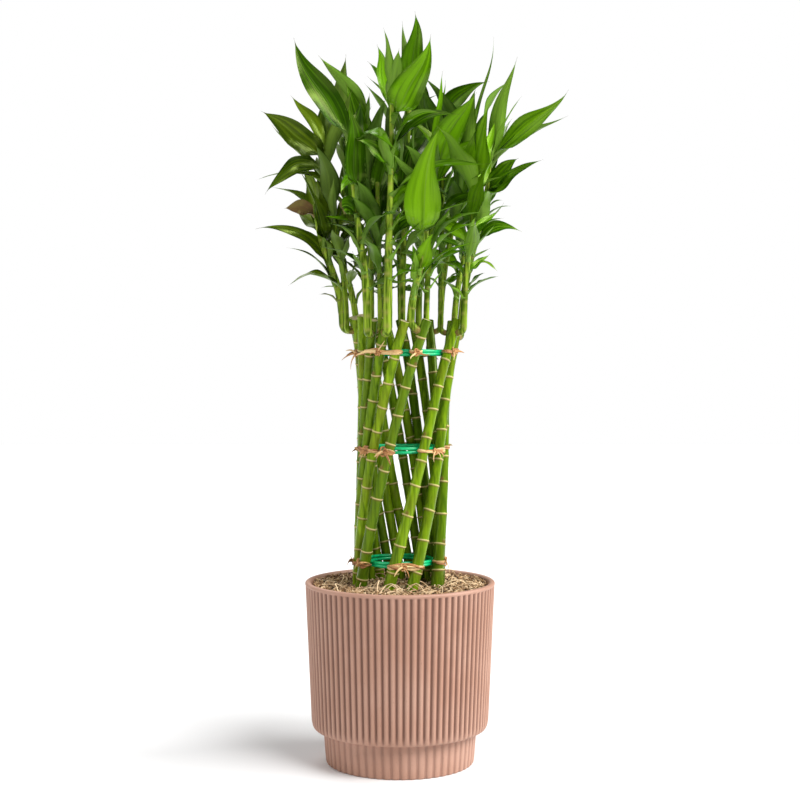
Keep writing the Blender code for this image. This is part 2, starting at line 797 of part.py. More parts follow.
def largest_island(mesh):
    """Drops every loose scrap, and the inner skin of any sealed hollow, so that one closed body is left."""
    bm = bmesh.new()
    bm.from_mesh(mesh)
    left = set(bm.verts)
    islands = []
    while left:
        island = {left.pop()}
        edge = list(island)
        while edge:
            vert = edge.pop()
            for link in vert.link_edges:
                other = link.other_vert(vert)
                if other not in island:
                    island.add(other)
                    edge.append(other)
        left -= island
        islands.append(island)
    keep = max(islands, key=len)
    bmesh.ops.delete(bm, geom=[vert for vert in bm.verts if vert not in keep], context="VERTS")
    bm.to_mesh(mesh)
    bm.free()


def fused_shoot(name, stem, leaves, parts, material):
    """One solid: the stem with its leaves joined to it."""
    points, radii = stem.path()
    shoot = add_object(name, mesh_of(tube(name, points, radii, 1), name), parts, material)
    blades = new_collection(f"{name} leaves")
    for number, leaf in enumerate(leaves):
        mesh = bpy.data.meshes.new("leaf")
        corners, faces = leaf_faces(0, leaf)
        mesh.from_pydata(corners, [], faces)
        add_object(f"leaf {number}", mesh, blades)
    modifier = shoot.modifiers.new("leaves", "BOOLEAN")
    modifier.operation = "UNION"
    modifier.operand_type = "COLLECTION"
    modifier.collection = blades
    modifier.solver = "MANIFOLD"
    graph = bpy.context.evaluated_depsgraph_get()
    whole = bpy.data.meshes.new_from_object(shoot.evaluated_get(graph))
    shoot.modifiers.clear()
    shoot.data = whole
    for blade in list(blades.objects):
        bpy.data.objects.remove(blade, do_unlink=True)
    bpy.data.collections.remove(blades)
    largest_island(whole)


def cane_guards(canes):
    """Rough tubes round the canes, fat enough to keep the leaves clear of them and of the ties."""
    trees = []
    for cane in canes:
        shares = [i / (CANE_GUARD_POINTS - 1) for i in range(CANE_GUARD_POINTS)]
        heights = [mix(TIE_LEVELS[1], cane.tip_z, share) for share in shares]
        points = [cane.centre(z) for z in heights]
        trees.append(guard_tree(*tube_faces(points, [cane.radius(z) * CANE_GUARD_SWELL for z in heights])))
    return trees


def make_shoots(canes, parts, material):
    stems = [Stem(shoot, canes[shoot.cane]) for shoot in SHOOTS]
    leaves = grow_leaves(stems, cane_guards(canes))
    for number, (stem, group) in enumerate(zip(stems, leaves), 1):
        fused_shoot(f"shoot_{number:02d}", stem, group, parts, material)


def main():
    empty_the_scene()
    parts = new_collection("potted lucky bamboo")
    helpers = new_collection("cutters")
    materials = make_materials()
    make_pot(parts, helpers, materials["pot"])
    make_fill(parts, materials)
    canes = ring_of_canes()
    make_canes(canes, parts, materials["cane"])
    make_hoops(canes, parts, materials["hoop"])
    make_ties(canes, parts, materials["raffia"])
    make_shoots(canes, parts, materials["leaf"])


main()
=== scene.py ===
"""The looks of a potted lucky bamboo: its fluted pot, moss, canes, hoops, raffia ties and leafy shoots.

Metres, +Z up. The middle of the pot's flat underside is the origin, the front looks along -Y and +X is to the
right. An azimuth is measured round +Z from the front, so 0 is the front and 90 is the right.
"""

import sys
import logging
import math
import random
from collections.abc import Iterator
from dataclasses import dataclass, replace
from enum import Enum

import bpy
import numpy as np
from mathutils import Matrix, Vector
from mathutils.bvhtree import BVHTree


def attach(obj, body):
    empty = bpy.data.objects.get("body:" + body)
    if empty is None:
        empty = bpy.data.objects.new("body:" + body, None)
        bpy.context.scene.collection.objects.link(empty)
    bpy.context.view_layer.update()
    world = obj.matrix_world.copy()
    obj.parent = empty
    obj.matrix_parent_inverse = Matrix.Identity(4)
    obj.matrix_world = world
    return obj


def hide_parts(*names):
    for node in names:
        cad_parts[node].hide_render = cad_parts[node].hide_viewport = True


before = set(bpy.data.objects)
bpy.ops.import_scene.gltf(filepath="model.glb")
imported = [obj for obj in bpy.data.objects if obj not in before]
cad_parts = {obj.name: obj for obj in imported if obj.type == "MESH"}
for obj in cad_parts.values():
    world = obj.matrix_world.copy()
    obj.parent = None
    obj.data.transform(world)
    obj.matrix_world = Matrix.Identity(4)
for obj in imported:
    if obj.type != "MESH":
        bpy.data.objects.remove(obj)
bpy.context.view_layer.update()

Array = np.ndarray
Colour = tuple[float, float, float, float]
Dice = random.Random | np.random.Generator
Socket = bpy.types.NodeSocket
Source = Socket | str | float | Colour
Span = tuple[float, float]

MM = 0.001
GAP = 0.3 * MM
UP = Vector((0, 0, 1))
FRONT = Vector((0, -1, 0))
BODY = "root"

# The colour of the gloss on leaves, stems and canes.
PLANT_GLOSS = (0.76, 1.0, 0.20, 1)

log = logging.getLogger("lucky bamboo")


class Slot(Enum):
    """The material slots of the part."""

    POT = "pot"
    MOSS = "moss"
    CANE = "cane"
    HOOP = "hoop"
    RAFFIA = "raffia"
    LEAF = "leaf"


# ---------------------------------------------------------------- whole-array helpers


def mix(a: float, b: float, share: float) -> float:
    """The value that lies this share of the way from a to b, also for vectors and arrays."""
    return a + (b - a) * share


def ease(x: Array) -> Array:
    """A smooth step: 3x^2 - 2x^3 between 0 and 1, and level outside."""
    x = np.clip(x, 0.0, 1.0)
    return x * x * (3 - 2 * x)


def hump(x: Array, width: float) -> Array:
    """A bell: e to the power of minus (x / width) squared."""
    return np.exp(-((x / width) ** 2))


def unit(v: Array) -> Array:
    """Each vector divided by its length."""
    return v / np.maximum(np.linalg.norm(v, axis=-1, keepdims=True), 1e-12)


def level_direction(azimuth: Array) -> Array:
    """The level unit vectors (sin a, -cos a, 0) of azimuths in radians."""
    return np.stack([np.sin(azimuth), -np.cos(azimuth), np.zeros_like(azimuth)], -1)


def round_angles(count: int) -> Array:
    """Even angles all the way round, in radians."""
    return 2 * np.pi * np.arange(count) / count


def wavering(dice: Dice, s: Array, slow: float, fast: float, *size: tuple) -> Array:
    """A sine of s whose pace, between slow and fast, and start the dice choose."""
    return np.sin(dice.uniform(slow, fast, *size) * s + dice.uniform(0, 6, *size))


def cubic(handles: tuple, share: float) -> float:
    """The cubic curve of four handles at this share of it, also for vectors and arrays."""
    a, b, c, d = handles
    rest = 1 - share
    return rest**3 * a + 3 * rest**2 * share * b + 3 * rest * share**2 * c + share**3 * d


def resampled(path: Array, count: int) -> Array:
    """The path (P, 3) read off at count equal steps along its own straight runs."""
    along = run_length(path)
    places = np.linspace(0.0, along[-1], count)
    return np.stack([np.interp(places, along, path[:, k]) for k in range(3)], -1)


def run_length(path: Array) -> Array:
    """How far along the path (P, 3) each of its points lies."""
    return np.concatenate([[0.0], np.cumsum(np.linalg.norm(np.diff(path, axis=0), axis=1))])


def softened(path: Array, times: int) -> Array:
    """The path with each inner point moved to (before + 2 itself + after) / 4, this many times."""
    for _ in range(times):
        path = np.concatenate([path[:1], (path[:-2] + 2 * path[1:-1] + path[2:]) / 4, path[-1:]])
    return path


def carried(paths: Array, radii: Array, sides: int, reference: Array, flat: float = 1.0) -> Array:
    """Sections carried along paths: p + r (a cos t + f b sin t), a = reference x slope and b = slope x a.

    Args:
        paths: N paths of P points, (N, P, 3).
        radii: the section's radius at each point, broadcast to (N, P).
        sides: points in a section.
        reference: a direction that no path follows, broadcast to the paths.
        flat: f, how much thinner a section is across b than across a.

    Returns:
        Rings of points, (N, P, sides, 3), in the order that faces outwards.
    """
    slope = unit(np.gradient(paths, axis=-2))
    a = unit(np.cross(reference, slope))
    b = np.cross(slope, a)
    t = round_angles(sides)
    r = np.broadcast_to(radii, paths.shape[:-1])[..., None, None]
    across = a[..., None, :] * np.cos(t)[:, None] + flat * b[..., None, :] * np.sin(t)[:, None]
    return paths[..., None, :] + r * across


def carried_round(path: Array, radius: float, sides: int, reference: Array, flat: float = 1.0) -> Array:
    """The rings (1, P, sides, 3) of one section carried along a path (P, 3) which closes on itself."""
    loop = np.concatenate([path[-1:], path, path[:1]])
    return carried(loop[None], radius, sides, reference, flat)[:, 1:-1]


def swollen(path: Array, radii: Array, reference: Array) -> Array:
    """The rings (1, P, S, 3) along a path (P, 3), where each point of a ring has its own radius, (P, S)."""
    middle = path[:, None]
    outward = carried(path[None], 1.0, radii.shape[1], reference)[0] - middle
    return (middle + outward * radii[..., None])[None]


def placed(name: str, data: bpy.types.ID) -> bpy.types.Object:
    """A new object of this mesh, lamp or camera, in the scene."""
    obj = bpy.data.objects.new(name, data)
    bpy.context.scene.collection.objects.link(obj)
    return obj


class Heap:
    """Tubes gathered into one mesh, with named values at their points."""

    def __init__(self, *names: str) -> None:
        """Starts empty, for points that carry these named values."""
        self.points: list[Array] = []
        self.quads: list[Array] = []
        self.triangles: list[Array] = [np.zeros((0, 3), int)]
        self.values: dict[str, list[Array]] = {name: [] for name in names}
        self.size = 0

    def add(self, rings: Array, closed: bool = False, **values: Array) -> None:
        """Adds N tubes at once. An open tube's ends are closed by fans.

        Args:
            rings: points (N, R, S, 3), R rings of S points.
            closed: whether the last ring joins the first.
            values: a named value at each point, broadcast to (N, R, S).
        """
        n, rows, sides, _ = rings.shape
        values = {name: np.broadcast_to(value, (n, rows, sides)) for name, value in values.items()}
        start = self.size + np.arange(n)[:, None, None] * rows * sides
        row = np.arange(rows if closed else rows - 1)[:, None] * sides
        after = (row + sides) % (rows * sides)
        side = np.arange(sides)[None]
        beside = (side + 1) % sides
        quads = np.stack([row + side, row + beside, after + beside, after + side], -1)
        self.quads.append((quads.reshape(1, -1, 4) + start).reshape(-1, 4))
        self._store(rings.reshape(-1, 3), values)
        for end, order in () if closed else ((0, -1), (rows - 1, 1)):
            rim = start[:, 0] + end * sides + np.arange(sides)[::order]
            hub = np.broadcast_to(self.size + np.arange(n)[:, None], rim.shape)
            self.triangles.append(np.stack([hub, rim, np.roll(rim, -1, axis=1)], -1).reshape(-1, 3))
            middles = {name: value[:, end].mean(axis=1) for name, value in values.items()}
            self._store(rings[:, end].mean(axis=1), middles)

    def _store(self, points: Array, values: dict[str, Array]) -> None:
        """Keeps points with their values, and 0 for a value that isn't given."""
        self.points.append(points)
        self.size += len(points)
        for name, kept in self.values.items():
            kept.append(np.asarray(values.get(name, np.zeros(len(points)))).reshape(-1))

    def settle(
        self, name: str, material: bpy.types.Material, slot: Slot, node: str, sharp: float | None = None
    ) -> None:
        """Makes the piece at the origin, puts it on the part's body in place of a node, and reports it.

        Args:
            name: the piece's name.
            material: its finish.
            slot: not used.
            node: the node that it stands for.
            sharp: the angle in degrees from which an edge is drawn sharp, if any is.
        """
        quads, triangles = np.concatenate(self.quads), np.concatenate(self.triangles)
        corners = np.concatenate([quads.ravel(), triangles.ravel()])
        starts = np.concatenate([4 * np.arange(len(quads)), quads.size + 3 * np.arange(len(triangles))])
        mesh = bpy.data.meshes.new(name)
        mesh.vertices.add(self.size)
        mesh.loops.add(len(corners))
        mesh.polygons.add(len(starts))
        mesh.vertices.foreach_set("co", np.concatenate(self.points).astype(np.float32).ravel())
        mesh.loops.foreach_set("vertex_index", corners.astype(np.int32))
        mesh.polygons.foreach_set("loop_start", starts.astype(np.int32))
        mesh.polygons.foreach_set("use_smooth", np.ones(len(starts), bool))
        for key, parts in self.values.items():
            attribute = mesh.attributes.new(key, "FLOAT", "POINT")
            attribute.data.foreach_set("value", np.concatenate(parts).astype(np.float32))
        mesh.update(calc_edges=True)
        mesh.validate()
        if sharp:
            mesh.set_sharp_from_angle(angle=math.radians(sharp))
        mesh.materials.append(material)
        obj = placed(name, mesh)
        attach(obj, BODY)
        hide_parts(node)
        log.info("%-18s %7d faces", name, len(starts))


# ---------------------------------------------------------------- finishes


class Paint:
    """A material's node tree, with short ways to add nodes. A name stands for that value of the mesh."""

    def __init__(self, name: str, roughness: float) -> None:
        """Starts a material with one Principled shader of this roughness."""
        self.material = bpy.data.materials.new(name)
        self.material.use_nodes = True
        self.nodes = self.material.node_tree.nodes
        self.links = self.material.node_tree.links
        self.shader = self.nodes["Principled BSDF"]
        self.shader.inputs["Roughness"].default_value = roughness

    def plug(self, source: Source, target: Socket) -> None:
        """Joins a socket or a named value to the target, or sets the target to a plain one."""
        if isinstance(source, str):
            source = self.node("Attribute", attribute_name=source).outputs["Fac"]
        if isinstance(source, bpy.types.NodeSocket):
            self.links.new(source, target)
        else:
            target.default_value = source

    def node(
        self, kind: str, plugs: dict[int | str, Source] | None = None, **settings: object
    ) -> bpy.types.Node:
        """Adds a node with these settings, and with these sources at its sockets."""
        node = self.nodes.new(f"ShaderNode{kind}")
        for name, value in settings.items():
            setattr(node, name, value)
        for key, source in (plugs or {}).items():
            self.plug(source, node.inputs[key])
        return node

    def maths(self, operation: str, a: Source, b: Source = 0.0, clamp: bool = False) -> Socket:
        """One step of arithmetic."""
        return self.node("Math", {0: a, 1: b}, operation=operation, use_clamp=clamp).outputs[0]

    def times(self, a: Source, b: Source) -> Socket:
        """One value times the other."""
        return self.maths("MULTIPLY", a, b)

    def span(self, x: Source, low: float, high: float, to_low: float = 0.0, to_high: float = 1.0) -> Socket:
        """x carried smoothly from low..high to to_low..to_high, and level outside."""
        plugs = dict(enumerate((x, low, high, to_low, to_high)))
        return self.node("MapRange", plugs, interpolation_type="SMOOTHSTEP").outputs[0]

    def layered(self, colour: Source, *layers: tuple[Source, Source]) -> Source:
        """The colour under layers, each of which gives its own share and colour."""
        for share, over in layers:
            colour = self.node("Mix", {"Factor": share, 6: colour, 7: over}, data_type="RGBA").outputs[2]
        return colour

    def place(self, scale: tuple[float, float, float] = (1, 1, 1)) -> Socket:
        """The point's place on the object, stretched by this scale."""
        plugs = {"Vector": self.node("TexCoord").outputs["Object"], "Scale": scale}
        return self.node("Mapping", plugs).outputs["Vector"]

    def own_place(self, x: Source, y: Source, z: Source = 0.0) -> Socket:
        """A place made from named values, for a pattern that follows the surface."""
        return self.node("CombineXYZ", {0: x, 1: y, 2: z}).outputs[0]

    def noise(self, vector: Socket, scale: float, detail: float = 3.0, rough: float = 0.5) -> Socket:
        """Soft random patches between 0 and 1."""
        plugs = {"Vector": vector, "Scale": scale, "Detail": detail, "Roughness": rough}
        return self.node("TexNoise", plugs).outputs["Fac"]

    def relief(self, height: Socket, strength: float, distance: float) -> None:
        """Gives the surface fine relief."""
        bump = self.node("Bump", {"Height": height, "Strength": strength, "Distance": distance})
        self.links.new(bump.outputs["Normal"], self.shader.inputs["Normal"])

    def finish(
        self, colour: Socket, roughness: Socket | None = None, gloss: float = 0.0
    ) -> bpy.types.Material:
        """Joins the colour and roughness to the shader, with a plant's gloss of this level if it has one."""
        self.links.new(colour, self.shader.inputs["Base Color"])
        if roughness:
            self.links.new(roughness, self.shader.inputs["Roughness"])
        if gloss:
            self.shader.inputs["Specular IOR Level"].default_value = gloss
            self.shader.inputs["Specular Tint"].default_value = PLANT_GLOSS
        return self.material


@dataclass(frozen=True)
class PotFinish:
    """Matt blush resin, with painted shade darker down in the flutes, faint clouding, dark specks and a fine
    grain.
    """

    clay: Colour = (0.405, 0.215, 0.147, 1)
    pale: Colour = (0.465, 0.270, 0.198, 1)
    # The dark brown of the resin's specks, and of the painted shade in the flutes.
    groove: Colour = (0.120, 0.046, 0.027, 1)
    cloud_scale: float = 14
    speck_scale: float = 420
    grain_scale: float = 700

    def material(self) -> bpy.types.Material:
        """The finish's material."""
        paint = Paint("blush resin", 0.55)
        place = paint.place()
        clouds = paint.span(paint.noise(place, self.cloud_scale, 4), 0.35, 0.7)
        specks = paint.span(paint.noise(place, self.speck_scale, 2), 0.62, 0.78)
        colour = paint.layered(
            self.clay,
            (clouds, self.pale),
            (paint.times(specks, 0.25), self.groove),
            # Painted shade: each flute is darkened by its depth.
            (paint.times("groove", 0.85), self.groove),
        )
        paint.relief(paint.noise(place, self.grain_scale, 3), 0.15, 0.0004)
        return paint.finish(colour, paint.span(clouds, 0, 1, 0.50, 0.62))


@dataclass(frozen=True)
class SoilFinish:
    """Dark damp potting soil."""

    dark: Colour = (0.020, 0.012, 0.007, 1)
    brown: Colour = (0.085, 0.050, 0.028, 1)
    crumb_scale: float = 260

    def material(self) -> bpy.types.Material:
        """The finish's material."""
        paint = Paint("potting soil", 0.95)
        crumbs = paint.noise(paint.place(), self.crumb_scale, 5, 0.7)
        paint.relief(crumbs, 0.8, 0.002)
        return paint.finish(paint.layered(self.dark, (paint.span(crumbs, 0.35, 0.7), self.brown)))


@dataclass(frozen=True)
class StrandFinish:
    """Dry strands: each has its own place in three tones, which wavers with a grain."""

    name: str
    roughness: float
    tones: tuple[Colour, Colour, Colour]
    turns_at: tuple[float, float]
    waver: float
    depth: float

    def grain(self, paint: Paint) -> Socket:
        """A grain that lies still in the object."""
        return paint.noise(paint.place(), 500, 3)

    def material(self) -> bpy.types.Material:
        """The finish's material."""
        paint = Paint(self.name, self.roughness)
        grain = self.grain(paint)
        first, middle, last = self.tones
        tint = paint.maths("ADD", "tint", paint.span(grain, 0.3, 0.7, -self.waver, self.waver), clamp=True)
        low, high = self.turns_at
        colour = paint.layered(
            first, (paint.span(tint, 0.0, low), middle), (paint.span(tint, high, 1.0), last)
        )
        paint.relief(grain, self.depth, 0.0006)
        return paint.finish(colour)


@dataclass(frozen=True)
class RaffiaFinish(StrandFinish):
    """Raffia: long fibres that run along each strand."""

    def grain(self, paint: Paint) -> Socket:
        """A grain of fibres, long in the direction of the strand."""
        return paint.noise(paint.own_place(paint.times("along", 90), "across", "tint"), 9, 3)


DRIED_MOSS = StrandFinish(
    name="dried moss",
    roughness=0.85,
    tones=((0.032, 0.016, 0.007, 1), (0.390, 0.225, 0.100, 1), (0.800, 0.600, 0.370, 1)),
    turns_at=(0.45, 0.45),
    waver=0.15,
    depth=0.4,
)
RAFFIA = RaffiaFinish(
    name="raffia",
    roughness=0.62,
    tones=((0.250, 0.098, 0.030, 1), (0.530, 0.250, 0.078, 1), (0.730, 0.520, 0.240, 1)),
    turns_at=(0.5, 0.55),
    waver=0.3,
    depth=0.6,
)


@dataclass(frozen=True)
class CaneFinish:
    """Glossy green cane skin with long pale streaks, straw rings at the joints and brown bud scars."""

    deep: Colour = (0.029, 0.078, 0.003, 1)
    fresh: Colour = (0.268, 0.436, 0.010, 1)
    olive: Colour = (0.150, 0.165, 0.010, 1)
    ring: Colour = (0.600, 0.450, 0.220, 1)
    scar: Colour = (0.150, 0.075, 0.028, 1)
    cut: Colour = (0.520, 0.430, 0.250, 1)
    streak_scale: tuple[float, float, float] = (260, 260, 9)
    cloud_scale: float = 22

    def material(self) -> bpy.types.Material:
        """The finish's material."""
        paint = Paint("cane skin", 0.30)
        streaks = paint.noise(paint.place(self.streak_scale), 1, 3)
        clouds = paint.noise(paint.place(), self.cloud_scale, 3)
        colour = paint.layered(
            self.deep,
            (paint.span(streaks, 0.15, 0.78), self.fresh),
            (paint.span(clouds, 0.45, 0.72, 0, 0.65), self.olive),
            (paint.times("shade", 0.70), self.deep),
            ("under_ring", self.scar),
            ("ring", self.ring),
            ("scar", self.scar),
            ("cut", self.cut),
        )
        paint.relief(streaks, 0.12, 0.0004)
        dry = paint.maths("MAXIMUM", "ring", "cut")
        return paint.finish(colour, paint.span(dry, 0, 1, 0.22, 0.75), gloss=0.42)


@dataclass(frozen=True)
class HoopFinish:
    """Green plastic-coated wire."""

    green: Colour = (0.004, 0.520, 0.190, 1)
    dark: Colour = (0.0, 0.300, 0.100, 1)
    scuff_scale: float = 160

    def material(self) -> bpy.types.Material:
        """The finish's material."""
        paint = Paint("coated wire", 0.25)
        scuffs = paint.noise(paint.place(), self.scuff_scale, 3)
        paint.relief(scuffs, 0.1, 0.0003)
        return paint.finish(paint.layered(self.green, (paint.span(scuffs, 0.45, 0.75), self.dark)))


@dataclass(frozen=True)
class LeafFinish:
    """A glossy leaf: soft streaks and fine veins, painted shade towards the edges, a pale keel and root, a
    dull underside and a dry tip.
    """

    name: str
    deep: Colour
    fresh: Colour
    under: Colour = (0.160, 0.270, 0.050, 1)
    dry: Colour = (0.075, 0.050, 0.022, 1)
    rust: Colour = (0.185, 0.085, 0.050, 1)
    streaks_along: float = 1.6
    streaks_across: float = 8.5
    vein_pace: float = 82

    def material(self) -> bpy.types.Material:
        """The finish's material."""
        paint = Paint(self.name, 0.33)
        bands = paint.own_place(
            paint.times("along", self.streaks_along), paint.times("across", self.streaks_across), "tint"
        )
        streaks = paint.noise(bands, 1.0, 3)
        light = paint.maths("ADD", paint.times(streaks, 1.5), paint.times("shade", 0.62))
        veins = paint.maths("SINE", paint.times("across", self.vein_pace))
        aside = paint.maths("ABSOLUTE", paint.maths("SUBTRACT", "across", 0.5))
        colour = paint.layered(
            self.deep,
            (paint.span(light, 0.60, 1.46), self.fresh),
            (paint.span(veins, 0.2, 1.0, 0.0, 0.05), self.under),
            # Painted shade: the blade darkens from the middle towards its edges.
            (paint.span(aside, 0.22, 0.50, 0.0, 0.50), self.deep),
            (paint.span(aside, 0.0, 0.030, 0.35, 0.0), self.under),
            (paint.span("along", 0.22, 0.02, 0.0, 0.35), self.under),
            (paint.times("under", 0.45), self.under),
            (paint.span("along", 0.91, 0.985, 0.0, 0.85), self.dry),
            (paint.times("withered", 0.8), self.rust),
        )
        paint.relief(paint.maths("ADD", veins, streaks), 0.08, 0.0005)
        return paint.finish(colour, paint.span("under", 0, 1, 0.22, 0.42), gloss=0.42)


class Tone(Enum):
    """The greens that the sprays of leaves are dealt out in."""

    OLIVE = LeafFinish("olive leaves", (0.016, 0.040, 0.001, 1), (0.112, 0.182, 0.004, 1))
    FOREST = LeafFinish("forest leaves", (0.008, 0.036, 0.0, 1), (0.084, 0.230, 0.002, 1))
    GRASS = LeafFinish("grass leaves", (0.011, 0.052, 0.0, 1), (0.138, 0.345, 0.002, 1))
    SPRING = LeafFinish("spring leaves", (0.018, 0.080, 0.0, 1), (0.190, 0.420, 0.006, 1))


@dataclass(frozen=True)
class StemFinish:
    """A young stem: pale yellow-green sheaths with a thin edge to each, brown where it leaves its cane."""

    green: Colour = (0.044, 0.096, 0.002, 1)
    pale: Colour = (0.295, 0.435, 0.034, 1)
    edge: Colour = (0.300, 0.280, 0.070, 1)
    brown: Colour = (0.240, 0.130, 0.055, 1)
    streak_scale: tuple[float, float, float] = (300, 300, 14)

    def material(self) -> bpy.types.Material:
        """The finish's material."""
        paint = Paint("young stem", 0.36)
        streaks = paint.noise(paint.place(self.streak_scale), 1, 2)
        colour = paint.layered(
            self.green,
            (paint.span(streaks, 0.36, 0.70), self.pale),
            ("edge", self.edge),
            ("collar", self.brown),
        )
        paint.relief(streaks, 0.12, 0.0004)
        return paint.finish(colour, gloss=0.4)


# ---------------------------------------------------------------- the pot and its fill


@dataclass(frozen=True)
class Planter:
    """The fluted pot: a flared body on a narrower fluted foot, with a smooth rounded rim."""

    height: float = 0.2415
    body_foot_z: float = 0.0466
    body_lip_z: float = 0.061
    flutes_top_z: float = 0.2345
    body_foot_radius: float = 0.1145
    body_lip_radius: float = 0.119
    rim_radius: float = 0.127
    body_flutes: int = 84
    body_flute_depth: float = 0.0024
    foot_bottom_radius: float = 0.0995
    foot_top_radius: float = 0.1033
    foot_edge: float = 0.002
    foot_flutes: int = 56
    foot_flute_depth: float = 0.0012
    floor_z: float = 0.014
    floor_radius: float = 0.094
    wall: float = 0.0075
    columns: int = 1008
    groove_share: float = 0.38
    # The share of painted flute shade that the foot's shallower flutes get.
    foot_flute_shade: float = 0.45

    def inside_radius(self, z: float) -> float:
        """The radius of the pot's inside at height z."""
        share = (z - self.floor_z) / (self.height - self.floor_z)
        return mix(self.floor_radius, self.rim_radius - self.wall, share)

    def profile(self) -> Array:
        """The pot's half section, from the middle of the underside, out, up, over the rim and down inside.

        Returns:
            Rows of radius, height, share of the body's fluting and share of the foot's.
        """
        foot, top = self.foot_bottom_radius, self.foot_top_radius
        rows = [
            (0.030, 0, 0, 0),
            (foot - 0.008, 0, 0, 0),
            (foot - self.foot_edge, 0, 0, 1),
            (foot - 0.0006, 0.0006, 0, 1),
            (foot, self.foot_edge, 0, 1),
            (mix(foot, top, 0.33), 0.016, 0, 1),
            (mix(foot, top, 0.66), 0.032, 0, 1),
            (top, self.body_foot_z - 0.0012, 0, 1),
            (top, self.body_foot_z, 0, 0),
            (self.body_foot_radius - 0.0015, self.body_foot_z, 0, 0),
        ]
        for turn in np.radians([0, 22, 45, 68, 90]):
            r = mix(self.body_foot_radius, self.body_lip_radius, math.sin(turn))
            z = mix(self.body_foot_z, self.body_lip_z, 1 - math.cos(turn))
            rows.append((r, z, math.sin(turn) ** 1.5, 0))
        lip, upper = (self.body_lip_radius, self.body_lip_z), (self.rim_radius, self.flutes_top_z)
        for share in (0.2, 0.4, 0.6, 0.8, 0.96):
            rows.append((mix(lip[0], upper[0], share), mix(lip[1], upper[1], share), 1, 0))
        rim, inner = self.rim_radius, self.rim_radius - self.wall
        rows += [
            (rim, self.flutes_top_z, 1, 0),
            (rim, self.flutes_top_z + 0.0014, 0.80, 0),
            (rim, self.flutes_top_z + 0.0024, 0.0, 0),
            (rim + 0.0004, self.flutes_top_z + 0.0032, 0, 0),
            (rim + 0.0005, self.height - 0.0024, 0, 0),
            (rim, self.height - 0.0012, 0, 0),
            (rim - 0.0010, self.height - 0.0003, 0, 0),
            (rim - 0.0024, self.height, 0, 0),
            (inner + 0.0024, self.height - 0.0002, 0, 0),
            (inner + 0.0008, self.height - 0.0012, 0, 0),
            (self.inside_radius(self.height - 0.0030), self.height - 0.0030, 0, 0),
            (self.inside_radius(0.200), 0.200, 0, 0),
            (self.floor_radius, self.floor_z, 0, 0),
            (0.030, self.floor_z, 0, 0),
        ]
        return np.array(rows, float)

    def flute(self, turns: Array, count: int, phase: float = 0.0) -> Array:
        """The depth of a groove between round ribs at angle a: 1 - sqrt((|cos(n a / 2)| - g) / (1 - g))."""
        crown = (np.abs(np.cos(count * turns / 2 + phase)) - self.groove_share) / (1 - self.groove_share)
        return 1 - np.sqrt(np.clip(crown, 0, 1))

    def build(self) -> None:
        """Turns the profile round the axis, and presses the flutes into it."""
        turns = round_angles(self.columns)
        rows = self.profile()
        body = rows[:, 2:3] * self.flute(turns, self.body_flutes)[None]
        foot = rows[:, 3:4] * self.flute(turns, self.foot_flutes, np.pi / 2)[None]
        r = rows[:, 0:1] - body * self.body_flute_depth - foot * self.foot_flute_depth
        z = np.broadcast_to(rows[:, 1:2], r.shape)
        rings = np.stack([r * np.cos(turns), r * np.sin(turns), z], -1)
        # Each point's flute depth, which the finish turns into painted shade.
        heap = Heap("groove")
        heap.add(rings[None], groove=(body + self.foot_flute_shade * foot)[None])
        heap.settle("planter_pot", PotFinish().material(), Slot.POT, "planter", sharp=55)


MOSS_TOP_Z = 0.236


